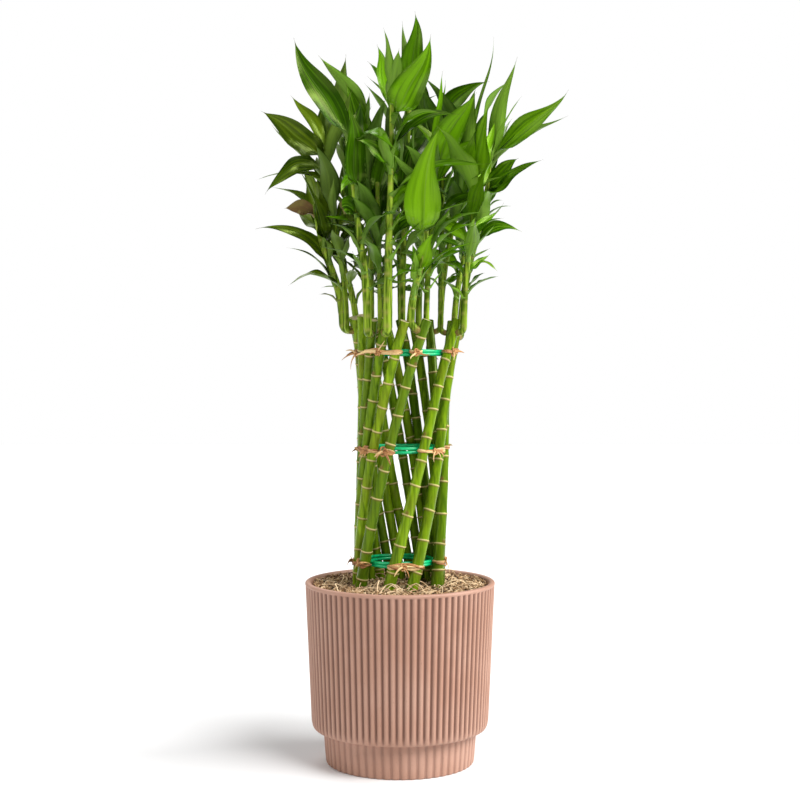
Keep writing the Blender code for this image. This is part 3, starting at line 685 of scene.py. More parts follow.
@dataclass(frozen=True)
class MossBed:
    """Dried moss on the soil: a lumpy bed, short curly strands all over, long loops at the canes' feet."""

    planter: Planter
    soil_top_z: float = 0.222
    strands: int = 2000
    strand_points: int = 10
    strand_margin: float = 0.0025
    loops: int = 46
    loop_points: int = 18
    loop_margin: float = 0.006
    bed_rows: int = 22
    bed_columns: int = 96
    bed_depth: float = 0.005
    bed_wave: float = 0.0014
    seed: int = 41

    def bed(self, material: bpy.types.Material) -> None:
        """A flat-bottomed cake whose top is z + waves of the place: sums of sines of x and y."""
        rim = self.planter.inside_radius(MOSS_TOP_Z - 0.003) - 0.0006
        under = [0.02, rim - 0.002, rim]
        radii = np.concatenate([under, np.linspace(rim, 0.004, self.bed_rows)])
        turns = round_angles(self.bed_columns)
        r = np.broadcast_to(radii[:, None], (len(radii), len(turns)))
        x, y = r * np.cos(turns), r * np.sin(turns)
        waves = np.sin(210 * x + 3 * np.sin(160 * y)) * np.sin(190 * y + 2 * np.sin(230 * x))
        top = MOSS_TOP_Z - self.bed_depth + self.bed_wave * waves
        z = np.where(np.arange(len(radii))[:, None] < len(under), self.soil_top_z + GAP, top)
        heap = Heap("tint")
        heap.add(np.stack([x, y, z], -1)[None], tint=0.06 * (waves > 0.2)[None])
        heap.settle("moss_bed", material, Slot.MOSS, "moss")

    def inside(self, x: Array, y: Array, z: Array, margin: float) -> Array:
        """The points, drawn in towards the middle where they would come nearer to the pot than the margin."""
        limit = self.planter.inside_radius(MOSS_TOP_Z) - margin
        far = np.maximum(np.hypot(x, y) / limit, 1.0)
        return np.stack([x / far, y / far, z], -1)

    def curls(self, dice: np.random.Generator) -> tuple[Array, Array]:
        """Short strands: each walks at a heading that turns steadily and wavers, and rises and dips.

        Returns:
            The paths (N, P, 3) and each strand's radius (N, 1).
        """
        n = self.strands
        limit = self.planter.inside_radius(MOSS_TOP_Z) - self.strand_margin
        r = limit * np.sqrt(dice.uniform(0, 1, n))
        a = dice.uniform(0, 2 * np.pi, n)
        s = np.linspace(0, 1, self.strand_points)[None]
        bend = dice.uniform(-6.5, 6.5, (n, 1))
        waver = dice.uniform(0.4, 1.2, (n, 1)) * wavering(dice, s, 6, 12, (n, 1))
        heading = dice.uniform(0, 2 * np.pi, (n, 1)) + bend * s + waver
        step = dice.uniform(0.0011, 0.0024, (n, 1))
        x, y = (np.cumsum(turned(heading) * step, axis=1) for turned in (np.cos, np.sin))
        x = x - x.mean(axis=1, keepdims=True) + (r * np.cos(a))[:, None]
        y = y - y.mean(axis=1, keepdims=True) + (r * np.sin(a))[:, None]
        z = MOSS_TOP_Z - 0.0034 + dice.uniform(0.0, 0.0050, (n, 1)) + 0.0022 * (r / limit)[:, None] ** 8
        z = z + 0.0018 * wavering(dice, s, 4, 9, (n, 1))
        return self.inside(x, y, z, self.strand_margin), dice.uniform(0.00065, 0.00140, (n, 1))

    def long_loops(self, dice: np.random.Generator) -> tuple[Array, Array]:
        """Long straws that arch over the canes' feet: a lying curl whose middle rises as sin(pi s).

        Returns:
            The paths (N, P, 3) and each straw's radius (N, 1).
        """
        n = self.loops
        a = np.where(np.arange(n) % 2 == 0, dice.normal(0.1, 0.5, n), dice.uniform(0, 2 * np.pi, n))[:, None]
        r = dice.uniform(0.055, 0.088, (n, 1))
        s = np.linspace(0, 1, self.loop_points)[None]
        heading = dice.uniform(0, 2 * np.pi, (n, 1)) + dice.uniform(-2.6, 2.6, (n, 1)) * s
        heading = heading + 0.6 * wavering(dice, s, 3, 8, (n, 1))
        step = dice.uniform(0.0016, 0.0030, (n, 1))
        x = r * np.sin(a) + np.cumsum(np.cos(heading) * step, axis=1)
        y = -r * np.cos(a) + np.cumsum(np.sin(heading) * step, axis=1)
        z = MOSS_TOP_Z + 0.0015 + dice.uniform(0.001, 0.013, (n, 1)) * np.sin(np.pi * s) ** 1.3
        return self.inside(x, y, z, self.loop_margin), dice.uniform(0.0006, 0.0011, (n, 1))

    def build(self) -> None:
        """Makes the bed and its strands, and dresses the soil under them."""
        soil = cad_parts["soil"]
        soil.data.materials.clear()
        soil.data.materials.append(SoilFinish().material())
        material = DRIED_MOSS.material()
        self.bed(material)
        dice = np.random.default_rng(self.seed)
        heap = Heap("tint")
        for (paths, radii), low, high in ((self.curls(dice), 0.05, 0.95), (self.long_loops(dice), 0.60, 1.0)):
            reference = unit(dice.normal(0, 1, (len(paths), 1, 3)) * (0.3, 0.3, 1.0))
            taper = 0.55 + 0.45 * np.sin(np.pi * np.linspace(0.06, 0.94, paths.shape[1]))
            tint = dice.uniform(low, high, (len(paths), 1, 1))
            heap.add(carried(paths, radii * taper, 4, reference, 0.7), tint=tint)
        heap.settle("moss_strands", material, Slot.MOSS, "moss")


# ---------------------------------------------------------------- the canes


@dataclass(frozen=True)
class Ring:
    """The ring that the canes stand in: straight, then flaring to their tips, and leaning to the right."""

    foot_z: float = 0.2283
    top_z: float = 0.590
    foot_radius: float = 0.0555
    top_radius: float = 0.0705
    flare_z: float = 0.450
    flare_power: float = 2.0
    middle_x: tuple[float, float] = (-0.002, 0.009)

    def radius(self, z: float) -> float:
        """The ring's radius at height z: it grows with the square of the height above the flare."""
        share = np.maximum(0.0, (z - self.flare_z) / (self.top_z - self.flare_z))
        return mix(self.foot_radius, self.top_radius, share**self.flare_power)

    def middle(self, z: Array) -> Array:
        """The ring's middle at heights z."""
        x = mix(*self.middle_x, (z - self.foot_z) / (self.top_z - self.foot_z))
        return np.stack([x, np.zeros_like(x), z + np.zeros_like(x)], -1)

    def outwards(self, points: Array) -> Array:
        """The level unit vectors from the ring's middle to the points."""
        return unit((points - self.middle(points[..., 2])) * (1, 1, 0))


RING = Ring()
INTERNODE = 0.036
CANE_TIP_RADIUS = 0.0056
SKIN_THICKEST = 0.0009
SKIN_NONE_FROM = 0.0082


@dataclass(frozen=True)
class Cane:
    """One cane of the ring: its azimuths at foot and tip, its foot's radius, its tip's height, its bow."""

    foot_azimuth: float
    tip_azimuth: float
    foot_radius: float
    tip_z: float
    bow: float = 0.0

    def share(self, z: Array) -> Array:
        """How far up the cane z is."""
        return (z - RING.foot_z) / (self.tip_z - RING.foot_z)

    def azimuth(self, z: Array) -> Array:
        """The azimuth in degrees at height z: even from foot to tip, plus the bow times the sine's square."""
        share = self.share(z)
        return mix(self.foot_azimuth, self.tip_azimuth, share) + self.bow * np.sin(np.pi * share) ** 2

    def centre(self, z: float) -> Vector:
        """The point of the cane's axis at height z."""
        return Vector(self.centres(np.array([float(z)]))[0])

    def centres(self, z: Array) -> Array:
        """The points of the cane's axis at heights z, as an array."""
        return RING.middle(z) + RING.radius(z)[:, None] * level_direction(np.radians(self.azimuth(z)))

    def radius(self, z: Array) -> Array:
        """The cane's radius at height z: it tapers fast above its foot, then hardly at all."""
        rise = np.minimum(1.0, 1.6 * np.maximum(self.share(z), 0.0)) ** 0.7
        return mix(self.foot_radius, min(self.foot_radius, CANE_TIP_RADIUS), rise)

    def skin_radius(self, z: Array) -> Array:
        """The radius of the skin at height z: it stands out furthest where the cane is thin."""
        core = self.radius(z)
        thin = (SKIN_NONE_FROM - core) / (SKIN_NONE_FROM - CANE_TIP_RADIUS)
        return core + SKIN_THICKEST * np.clip(thin, 0, 1)

    def joints(self, dice: random.Random) -> list[float]:
        """The heights of the cane's rings."""
        heights = []
        z = RING.foot_z + INTERNODE * dice.uniform(0.5, 0.9)
        while z < self.tip_z - 0.4 * INTERNODE:
            heights.append(z)
            z += INTERNODE * dice.uniform(0.8, 1.2)
        return heights


@dataclass(frozen=True)
class CaneStand:
    """All the canes: five thick ones in front, and a row of thinner ones round the sides and back."""

    front: tuple[tuple[float, float], ...] = ((-90, 88), (-66, 88), (-16, 88), (16, 82), (64, 54))
    front_radii: tuple[float, ...] = (0.0062, 0.0080, 0.0082, 0.0082, 0.0084)
    back: int = 12
    back_foot: tuple[float, float] = (84, 250)
    back_top: tuple[float, float] = (154, 338)
    back_radius: float = 0.0054
    sides: int = 22
    sunk: float = 0.004
    ring_height: float = 0.0007
    ring_width: float = 0.00075
    shadow_below: float = 0.0015
    shadow_width: float = 0.0008
    swell: float = 0.0003
    bud: float = 0.0012
    budded: float = 0.45
    waist: float = 0.02
    most_bow: float = 3.0
    bow_seed: int = 3

    def bowed(self, canes: list[Cane]) -> list[Cane]:
        """The same canes, each bowed a little to one side between its foot and its tip."""
        dice = random.Random(self.bow_seed)
        return [replace(cane, bow=dice.uniform(-1, 1) * self.most_bow) for cane in canes]

    def canes(self) -> list[Cane]:
        """The canes in order, by the part's own seeded rule."""
        dice = random.Random(17)
        canes = []
        for (foot, turn), radius in zip(self.front, self.front_radii):
            canes.append(Cane(foot, foot + turn, radius, RING.top_z + dice.uniform(-4, 2) * MM))
        for number in range(self.back):
            share = number / (self.back - 1)
            radius = self.back_radius + dice.uniform(-0.3, 0.3) * MM
            top = RING.top_z + dice.uniform(-8, 8) * MM
            canes.append(Cane(mix(*self.back_foot, share), mix(*self.back_top, share), radius, top))
        return canes

    def skin(self, heap: Heap, cane: Cane, number: int) -> None:
        """One cane: its radius plus bells of height h and width w at slanted joints, and a bell for each bud.

        Args:
            heap: what it is added to.
            cane: the cane.
            number: its number, which seeds its details.
        """
        joints = np.array([z for z in cane.joints(random.Random(100 + number)) if z > MOSS_TOP_Z])
        dice = np.random.default_rng(number)
        near = np.array([-7, -3.5, -2.0, -1.3, -0.7, 0, 0.7, 1.3, 2.0, 3.5, 5.5, 8, 13]) * MM
        foot = MOSS_TOP_Z - self.sunk
        z = np.concatenate([(joints[:, None] + near).ravel(), [foot, foot + 0.004]])
        z = np.unique(np.round(z[(z < cane.tip_z) & (z >= foot)], 5))
        z = np.append(z, cane.tip_z)
        t = round_angles(self.sides)
        slant = dice.uniform(0.2, 0.9, len(joints)) * MM
        facing = dice.uniform(0, 2 * np.pi, len(joints))
        above = z[:, None, None] - joints - slant * np.cos(t[:, None] - facing)
        ring = hump(above, self.ring_width).max(axis=2)
        below = hump(above + self.shadow_below, self.shadow_width).max(axis=2)
        swell = hump(above + 2 * MM, 0.006).max(axis=2)
        budded = dice.uniform(0, 1, len(joints)) < self.budded
        aside = np.angle(np.exp(1j * (t[:, None] - dice.uniform(0, 2 * np.pi, len(joints)))))
        bud = (hump(above - 3.2 * MM, 0.0024) * hump(aside, 0.42) * budded).max(axis=2)
        waist = 1 - self.waist * np.sin(np.pi * (z - RING.foot_z) / INTERNODE)[:, None] ** 2
        r = cane.skin_radius(z)[:, None] * waist
        r = r + self.ring_height * ring + self.swell * swell + self.bud * bud
        middle = cane.centres(z)
        rings = swollen(middle, r, np.array([0.0, 1.0, 0.0]))
        rim = middle[-1] + (rings[:, -1:] - middle[-1]) * np.array([0.93, 0.55])[:, None, None]
        dropped = np.array([0, 0, 0.0001]) * np.array([0, 4])[:, None, None]
        rings = np.concatenate([rings, rim - dropped], axis=1)
        values = {"ring": ease(1.3 * ring) * 0.95, "under_ring": 0.60 * below, "scar": 0.9 * ease(1.2 * bud)}
        end = np.zeros((2, self.sides))
        values = {name: np.concatenate([value, end]) for name, value in values.items()}
        cut = np.concatenate([np.zeros_like(r), end + 1])
        heap.add(rings, **values, cut=cut, shade=dice.uniform(0, 1))

    def build(self, canes: list[Cane]) -> None:
        """Makes a piece of each cane."""
        material = CaneFinish().material()
        for number, cane in enumerate(canes, 1):
            heap = Heap("ring", "under_ring", "scar", "cut", "shade")
            self.skin(heap, cane, number)
            name = f"cane_{number:02d}"
            heap.settle(f"{name}_skin", material, Slot.CANE, name, sharp=60)


# ---------------------------------------------------------------- the hoops and ties

TIE_LEVELS = (0.268, 0.419, 0.548)
HOOP_WIRE_RADIUS = 0.0028
TIE_SLACK = 0.0004
TIE_DROP = 0.0028


def hoop_radius(canes: list[Cane], level: float) -> float:
    """The radius of a hoop's middle circle, so that its wire clears the thickest cane on the inside."""
    thickest = max(float(cane.skin_radius(level)) for cane in canes)
    return float(RING.radius(level)) - thickest - HOOP_WIRE_RADIUS - TIE_SLACK


@dataclass(frozen=True)
class Hoops:
    """The coated wire inside the ring of canes at each level, wound round twice."""

    wire: float = 0.0022
    sides: int = 10
    points: int = 120
    apart: float = 0.0021
    waver: float = 0.0005

    def build(self, canes: list[Cane]) -> None:
        """Makes each hoop of two turns, whose height wavers as the sine of three times the angle."""
        material = HoopFinish().material()
        turns = round_angles(self.points)
        for number, level in enumerate(TIE_LEVELS, 1):
            heap = Heap()
            for side in (-1, 1):
                middle = RING.middle(np.full(len(turns), level))
                path = middle + hoop_radius(canes, level) * level_direction(turns)
                path[:, 2] += side * self.apart + self.waver * np.sin(3 * turns + side)
                heap.add(carried_round(path, self.wire, self.sides, np.array([0.0, 0.0, 1.0])), closed=True)
            heap.settle(f"hoop_{number}_wire", material, Slot.HOOP, f"hoop_{number}")


@dataclass(frozen=True)
class RaffiaTies:
    """Raffia round groups of three or four canes at each level.

    Twisted flat strands bind those that stand close together, each bundle with its own knot and tails.
    """

    strands: int = 5
    strand_width: float = 0.0014
    flatness: float = 0.26
    spread: float = 0.0030
    longest_span: float = 0.021
    hug: float = 42.0
    dive: float = 140.0
    clear: float = 0.0009
    knot_radius: float = 0.0026
    cord_radius: float = 0.0012
    path_points: int = 60
    tail_count: tuple[int, int] = (2, 5)
    tail_length: tuple[float, float] = (0.008, 0.030)
    tail_width: float = 0.0021
    seed: int = 5

    def sizes(self, count: int) -> list[int]:
        """How many canes each tie of a level binds: threes and fours, all the way round."""
        fours = count % 3
        return [4] * fours + [3] * ((count - 4 * fours) // 3)

    def bundles(self, group: list[Cane], level: float) -> list[list[Cane]]:
        """Parts the group wherever two neighbours' skins are further apart than the longest span."""
        parted = [group[:1]]
        for before, cane in zip(group, group[1:]):
            apart = float(np.linalg.norm(np.array(cane.centre(level)) - np.array(before.centre(level))))
            if apart - float(before.skin_radius(level)) - float(cane.skin_radius(level)) > self.longest_span:
                parted.append([])
            parted[-1].append(cane)
        return parted

    def path(self, group: list[Cane], level: float, clear: float) -> Array:
        """Close round each cane's outer side by an arc, straight between canes, and inwards at both ends.

        Args:
            group: the canes that are bound, in order.
            level: the height.
            clear: how far the path stays from the canes' skin.

        Returns:
            The path, (P, 3).
        """
        arcs = []
        for place, cane in enumerate(group):
            low = -self.dive if place == 0 else -self.hug
            high = self.dive if place == len(group) - 1 else self.hug
            turn = np.radians(float(cane.azimuth(level)) + np.linspace(low, high, 9))
            reach = float(cane.skin_radius(level)) + clear
            arcs.append(np.array(cane.centre(level)) + reach * level_direction(turn))
        line = np.concatenate(arcs)
        line[:, 2] += TIE_DROP * (0.5 - np.linspace(0, 1, len(line)))
        return softened(resampled(line, self.path_points), 2)

    def bands(self, heap: Heap, group: list[Cane], level: float, dice: np.random.Generator) -> Array:
        """The strands: each runs between the bundle's path and one above or below it, and twists as a sine.

        Args:
            heap: what they are added to.
            group: the canes that are bound.
            level: the height.
            dice: the tie's own chances.

        Returns:
            The bundle's own path.
        """
        line = self.path(group, level, self.clear)
        s = np.linspace(0, 1, len(line))[:, None]
        out = RING.outwards(line)
        fan = np.sin(np.pi * np.clip(s, 0.001, 0.999)) ** 0.45
        for k in range(self.strands):
            offset = (k / (self.strands - 1) - 0.5) * 2 * self.spread * dice.uniform(0.5, 1.2)
            beside = self.path(group, level + offset, self.clear + dice.uniform(0.0, 0.0010))
            share = mix(0.05, 1.2, 0.5 + 0.5 * wavering(dice, s, 5, 14))
            turn = 1.1 * wavering(dice, s, 5, 13) * dice.uniform(0.2, 1.0)
            reference = out * np.cos(turn) + np.array([0, 0, 1.0]) * np.sin(turn)
            width = self.strand_width * dice.uniform(0.7, 1.4) * (0.7 + 0.3 * fan[:, 0])
            strip = mix(line, beside, fan * share)
            self.ribbon(heap, carried(strip[None], width, 8, reference[None], self.flatness), dice)
        return line

    def ribbon(self, heap: Heap, rings: Array, dice: np.random.Generator) -> None:
        """Adds a ribbon's rings with the values that the fibres follow."""
        _, rows, sides, _ = rings.shape
        across = np.abs(np.arange(sides) / sides * 2 - 1)
        along = np.linspace(0, 0.06 * rows / 44, rows)[:, None]
        heap.add(rings, along=along, across=across, tint=dice.uniform(0.0, 1.15))

    def knot(self, heap: Heap, place: Array, out: Array, dice: np.random.Generator) -> None:
        """A tangle: the curve (R + r cos 3t)(cos 2t, sin 2t) and r sin 3t, turned to lie on the canes."""
        t = round_angles(56)
        big = self.knot_radius * dice.uniform(0.8, 1.25)
        small = 0.55 * big
        wide, high = ((big + small * np.cos(3 * t)) * turned(2 * t) for turned in (np.cos, np.sin))
        side = unit(np.cross([0, 0, 1.0], out))
        path = place + wide[:, None] * side * 1.1 + high[:, None] * np.array([0, 0, dice.uniform(0.9, 1.5)])
        path = path + (0.8 * small * np.sin(3 * t))[:, None] * out
        rings = carried_round(path, self.cord_radius, 7, out + 0.01, 0.75)
        along = 0.03 * np.sin(t)[:, None]
        heap.add(rings, closed=True, along=along, across=0.5, tint=dice.uniform(0.05, 0.6))

    def tails(self, heap: Heap, place: Array, out: Array, dice: np.random.Generator) -> None:
        """Frayed ribbons from a knot, each a walk whose direction droops and curls, narrowing to a point."""
        s = np.linspace(0, 1, 16)
        side = unit(np.cross([0, 0, 1.0], out))
        for _ in range(int(dice.integers(*self.tail_count))):
            hand = dice.choice([-1.0, 1.0])
            length = dice.uniform(*self.tail_length)
            droop = dice.uniform(-0.8, 3.6) * s
            curl = dice.uniform(-2.0, 2.0) * s**2
            heading = hand * side * np.cos(curl)[:, None] + out * (0.5 + 0.4 * np.sin(curl))[:, None]
            heading[:, 2] += dice.uniform(-1.2, 1.0) - droop
            path = place + np.cumsum(unit(heading), axis=0) * length / len(s)
            width = self.tail_width * (1 - 0.80 * s**2) * dice.uniform(0.5, 1.2)
            self.ribbon(heap, carried(path[None], width, 6, out + 0.01, self.flatness), dice)

    def build(self, canes: list[Cane]) -> None:
        """Makes a piece of each tie."""
        material = RAFFIA.material()
        for row, level in enumerate(TIE_LEVELS, 1):
            order = sorted(canes, key=lambda cane: float(cane.azimuth(level)) % 360)
            first = row
            for number, size in enumerate(self.sizes(len(canes)), 1):
                dice = np.random.default_rng([self.seed, row, number])
                group = [order[(first + i) % len(order)] for i in range(size)]
                heap = Heap("along", "across", "tint")
                for bound in self.bundles(group, level):
                    line = self.bands(heap, bound, level + dice.uniform(-1, 1) * TIE_DROP / 2, dice)
                    place = line[int(dice.uniform(0.25, 0.75) * len(line))]
                    out = RING.outwards(place)
                    self.knot(heap, place + 0.0008 * out, out, dice)
                    self.tails(heap, place + 0.0012 * out, out, dice)
                heap.settle(f"tie_{row}_{number}_raffia", material, Slot.RAFFIA, f"tie_{row}_{number}")
                first += size


# ---------------------------------------------------------------- the rule that the shoots grow by

SHOOT_BELOW_TIP = 0.016
SHOOT_ELBOW_SHARE = 1.6
SHOOT_ELBOW_LEAST = 0.004
SHOOT_TIP_RADIUS = 0.0022
SHOOT_POINTS = 6
AXIS_STEPS = 60
LONG_LEAF = 0.085
LONG_LEAF_STATIONS = (0.32, 0.66)
SHORT_LEAF_STATIONS = (0.42,)
LEAF_ROOT_HALF_WIDTH = 0.0022
LEAF_THINNEST = 0.0012
LEAF_THICKNESS_SHARE = 0.0115
LEAF_FOLD = math.radians(18)
LEAF_GUARD = 0.0005
LEAVES_A_SHOOT = 11
FEWEST_RULE_LEAVES = 5
LEAF_TURN = 138
LEAF_TURN_AGAIN = 47
LEAF_TRIES = 7

# The thick stem in front stays in sight: none of its leaves stands before it up to this height, by shoot.
BARE_FRONT = {4: 0.850}
BARE_FRONT_SPREAD = 62


@dataclass(frozen=True)
class Shoot:
    """A side shoot: the cane it leaves and in which azimuth, its growing tip's place, and its base radius."""

    cane: int
    azimuth: float
    tip: tuple[float, float, float]
    radius: float
    seed: int
    tone: Tone


SHOOTS = (
    Shoot(12, 275, (-0.114, -0.012, 0.747), 0.0046, 3, Tone.OLIVE),
    Shoot(13, 285, (-0.100, 0.000, 0.828), 0.0030, 5, Tone.OLIVE),
    Shoot(15, 345, (-0.064, -0.050, 0.822), 0.0045, 7, Tone.FOREST),
    Shoot(14, 130, (-0.042, 0.005, 0.850), 0.0034, 2, Tone.GRASS),
    Shoot(16, 20, (-0.011, -0.052, 0.880), 0.0048, 4, Tone.GRASS),
    Shoot(0, 180, (0.012, -0.004, 0.890), 0.0036, 9, Tone.FOREST),
    Shoot(1, 275, (0.034, -0.088, 0.705), 0.0042, 11, Tone.SPRING),
    Shoot(1, 160, (0.046, -0.034, 0.800), 0.0032, 6, Tone.GRASS),
    Shoot(5, 90, (0.058, 0.034, 0.845), 0.0032, 8, Tone.GRASS),
    Shoot(4, 250, (0.084, 0.002, 0.830), 0.0032, 12, Tone.SPRING),
    Shoot(2, 60, (0.100, -0.048, 0.800), 0.0036, 13, Tone.SPRING),
    Shoot(3, 150, (0.122, 0.010, 0.815), 0.0040, 14, Tone.SPRING),
    Shoot(6, 170, (0.034, 0.112, 0.830), 0.0038, 15, Tone.FOREST),
    Shoot(7, 190, (-0.006, 0.126, 0.860), 0.0038, 16, Tone.GRASS),
    Shoot(8, 200, (-0.048, 0.116, 0.800), 0.0036, 17, Tone.FOREST),
    Shoot(9, 222, (-0.080, 0.092, 0.845), 0.0038, 18, Tone.OLIVE),
    Shoot(10, 245, (-0.112, 0.056, 0.790), 0.0036, 19, Tone.OLIVE),
    Shoot(4, 160, (0.106, 0.086, 0.785), 0.0036, 20, Tone.GRASS),
    Shoot(15, 130, (-0.030, -0.026, 0.775), 0.0028, 21, Tone.FOREST),
)

# The long leaves that make the crown's outline, in millimetres, for each shoot in turn: the height of the
# leaf's root, its tip (x, y, z), its full width, its arch as a hundredth of its length, and by how many
# degrees its upper side is turned to the front.
LONG_LEAVES = {
    0: (
        (655, -192, -30, 712, 20, 22, 62), (640, -152, -22, 688, 10, 15, 30),
        (648, -150, -14, 637, 14, 12, 30), (617, -108, -14, 626, 8, 10, 30),
        (665, -135, -46, 792, 24, 8, 80), (728, -156, -4, 742, 22, 12, 70),
    ),
    1: (
        (800, -185, -24, 870, 36, 2, 82), (785, -178, -46, 756, 24, 18, 68),
        (768, -192, -20, 778, 12, 12, 40), (770, -140, -10, 792, 12, 10, 40),
        (825, -149, 26, 899, 18, 5, 50),
    ),
    2: (
        (820, -139, -58, 960, 38, -4, 80), (745, -66, -80, 868, 36, 8, 140),
        (815, -5, -92, 806, 20, 25, 30), (770, -76, -92, 752, 14, 20, 60),
    ),
    3: ((800, -75, 8, 915, 34, 5, 76), (850, -111, 12, 951, 22, 6, -60), (848, -41, 0, 898, 12, 5, 60),),
    4: (
        (874, -22, -46, 976, 18, 4, -70), (872, -1, -64, 945, 27, 6, -80),
        (850, 40, -76, 961, 44, -5, 100), (785, -55, -84, 822, 24, 15, 92),
        (790, 56, -104, 853, 20, 30, 35), (740, -18, -88, 830, 20, 8, -15),
    ),
    5: ((885, 20, -12, 1005, 32, -4, 115), (880, 3, -18, 991, 18, 4, -45),),
    6: (
        (672, 52, -112, 839, 48, 6, 128), (650, 44, -102, 702, 24, 8, 120),
        (645, 16, -100, 688, 16, 8, 118), (640, 98, -92, 690, 8, 12, 30),
    ),
    7: ((775, 101, -52, 890, 40, 6, 96), (790, 57, -24, 923, 9, 4, 40),),
    8: ((840, 120, -12, 911, 32, 22, 88), (838, 62, 22, 919, 9, 4, 40),),
    9: ((820, 127, 16, 977, 9, -6, 40), (810, 101, -30, 900, 26, 4, -44),),
    10: ((760, 115, -80, 870, 38, 4, 130), (700, 122, -92, 801, 30, 10, 106),),
    11: (
        (812, 225, -20, 899, 32, -6, 76), (806, 157, -14, 944, 22, 3, -65),
        (800, 161, -38, 887, 12, 8, 40), (800, 227, 4, 868, 18, 4, -40),
        (750, 190, -32, 804, 24, 8, 76), (762, 159, -8, 809, 26, 8, 80),
        (728, 136, -22, 751, 8, 15, 20), (720, 149, -14, 744, 8, 15, 20),
        (695, 165, 12, 712, 20, 20, 60), (662, 131, 2, 658, 8, 20, 20),
    ),
}

# Leaves at the front of the crown, in the same way. Each takes the place of the rule's leaves that it would
# touch.
FRONT_LEAVES = {
    0: ((688, -113, -52, 760, 24, 6, 130),),
    2: ((724, -76, -86, 735, 24, 22, 95),),
    4: (
        (778, -56, -84, 808, 24, 6, 95), (778, -28, -88, 840, 16, 8, -35),
        (811, 76, -98, 853, 17, 16, 70), (752, 115, -112, 788, 13, 9, 60),
        (666, 99, -104, 743, 7, 10, 30),
    ),
    5: ((746, 15, -60, 829, 22, 5, 150),),
    6: ((634, 50, -104, 697, 20, 8, 110), (636, 20, -106, 679, 12, 8, -20),),
}

# Long leaves that have dried to rust, by shoot and place in its list.
WITHERED_LEAVES = {(0, 5): 0.9, (0, 3): 0.35, (11, 9): 0.3}

# Leaves at the front whose outer part is torn off, in the same way.
TORN_LEAVES = {(2, 0), (4, 0)}

# How far the crown reaches to the left and to the right at each height, and to the front and back.
CROWN_HEIGHTS = (0.600, 0.640, 0.700, 0.800, 0.870, 0.960, 1.005)
CROWN_LEFT = (0.070, 0.150, 0.192, 0.192, 0.185, 0.139, 0.020)
CROWN_RIGHT = (0.100, 0.131, 0.165, 0.190, 0.227, 0.130, 0.040)
CROWN_DEPTH = (0.080, 0.130, 0.170, 0.185, 0.175, 0.110, 0.040)


def towards(azimuth: float) -> Vector:
    """The level unit vector that looks in this azimuth, in degrees."""
    turn = math.radians(azimuth)
    return Vector((math.sin(turn), -math.cos(turn), 0))


def in_crown(point: Vector) -> bool:
    """Whether a leaf's tip stays within the crown's reach."""
    left, right, depth = (
        float(np.interp(point.z, CROWN_HEIGHTS, reach)) for reach in (CROWN_LEFT, CROWN_RIGHT, CROWN_DEPTH)
    )
    x = point.x / (right if point.x > 0 else left)
    return CROWN_HEIGHTS[0] < point.z < CROWN_HEIGHTS[-1] and x**2 + (point.y / depth) ** 2 < 1


def side_faces(count: int, sides: int) -> list[tuple]:
    """The four-sided faces between rings of points that are numbered one ring after the other."""
    lows = range(0, count - sides, sides)
    corners = ((low, i, (i + 1) % sides) for low in lows for i in range(sides))
    return [(low + i, low + j, low + sides + j, low + sides + i) for low, i, j in corners]


def guard_tree(points: list[Vector], faces: list[tuple]) -> BVHTree:
    """What tells whether something would touch this shape."""
    return BVHTree.FromPolygons([tuple(point) for point in points], faces, all_triangles=False)


@dataclass(frozen=True)
class Leaf:
    """A leaf blade: its root and tip, full width, arch as a share of its length, and turn to the front."""

    root: Vector
    tip: Vector
    width: float
    arch: float
    turn: float
    withered: float = 0.0
    torn: bool = False

    def length(self) -> float:
        """The distance from root to tip."""
        return (self.tip - self.root).length

    def frame(self) -> tuple[Vector, Vector, Vector]:
        """The leaf's chord, its side and its upper side before the turn, as unit vectors."""
        chord = (self.tip - self.root).normalized()
        level = Vector((chord.x, chord.y, 0))
        outward = level.normalized() if level.length > 0.02 else FRONT.copy()
        side = outward.cross(UP)
        upper = side.cross(chord).normalized()
        return chord, side, upper

    def spin(self) -> float:
        """The angle in radians, about the chord, that turns the upper side to the front."""
        chord, _, upper = self.frame()
        return math.radians(self.turn) * (1 if chord.cross(upper).dot(FRONT) > 0 else -1)

    def midrib(self, u: float) -> Vector:
        """A parabola from root to tip that rises to its upper side."""
        _, _, upper = self.frame()
        return self.root.lerp(self.tip, u) + upper * (4 * self.arch * self.length() * u * (1 - u))

    def guard(self, swell: float = LEAF_GUARD) -> BVHTree:
        """A rough four-sided blade, fatter all round by swell, for telling what would touch the leaf."""
        chord, side, upper = self.frame()
        spin = Matrix.Rotation(self.spin(), 3, chord)
        side, upper = spin @ side, spin @ upper
        length = self.length()
        thick = max(LEAF_THINNEST, LEAF_THICKNESS_SHARE * length) / 2 + swell
        points = []
        for u in (0, *(LONG_LEAF_STATIONS if length > LONG_LEAF else SHORT_LEAF_STATIONS)):
            outline = math.sin(math.pi * u**0.7) ** 1.25
            half = max(LEAF_ROOT_HALF_WIDTH, self.width / 2 * outline) + swell
            middle = self.midrib(u)
            lift, reach = half * math.sin(LEAF_FOLD), half * math.cos(LEAF_FOLD)
            points += [
                middle - reach * side + lift * upper,
                middle + thick * upper,
                middle + reach * side + lift * upper,
                middle - thick * upper,
            ]
        last = len(points) - 4
        faces = [(3, 2, 1, 0), *side_faces(len(points), 4)]
        faces += [(last + i, last + (i + 1) % 4, len(points)) for i in range(4)]
        return guard_tree([*points, self.tip + swell * chord], faces)


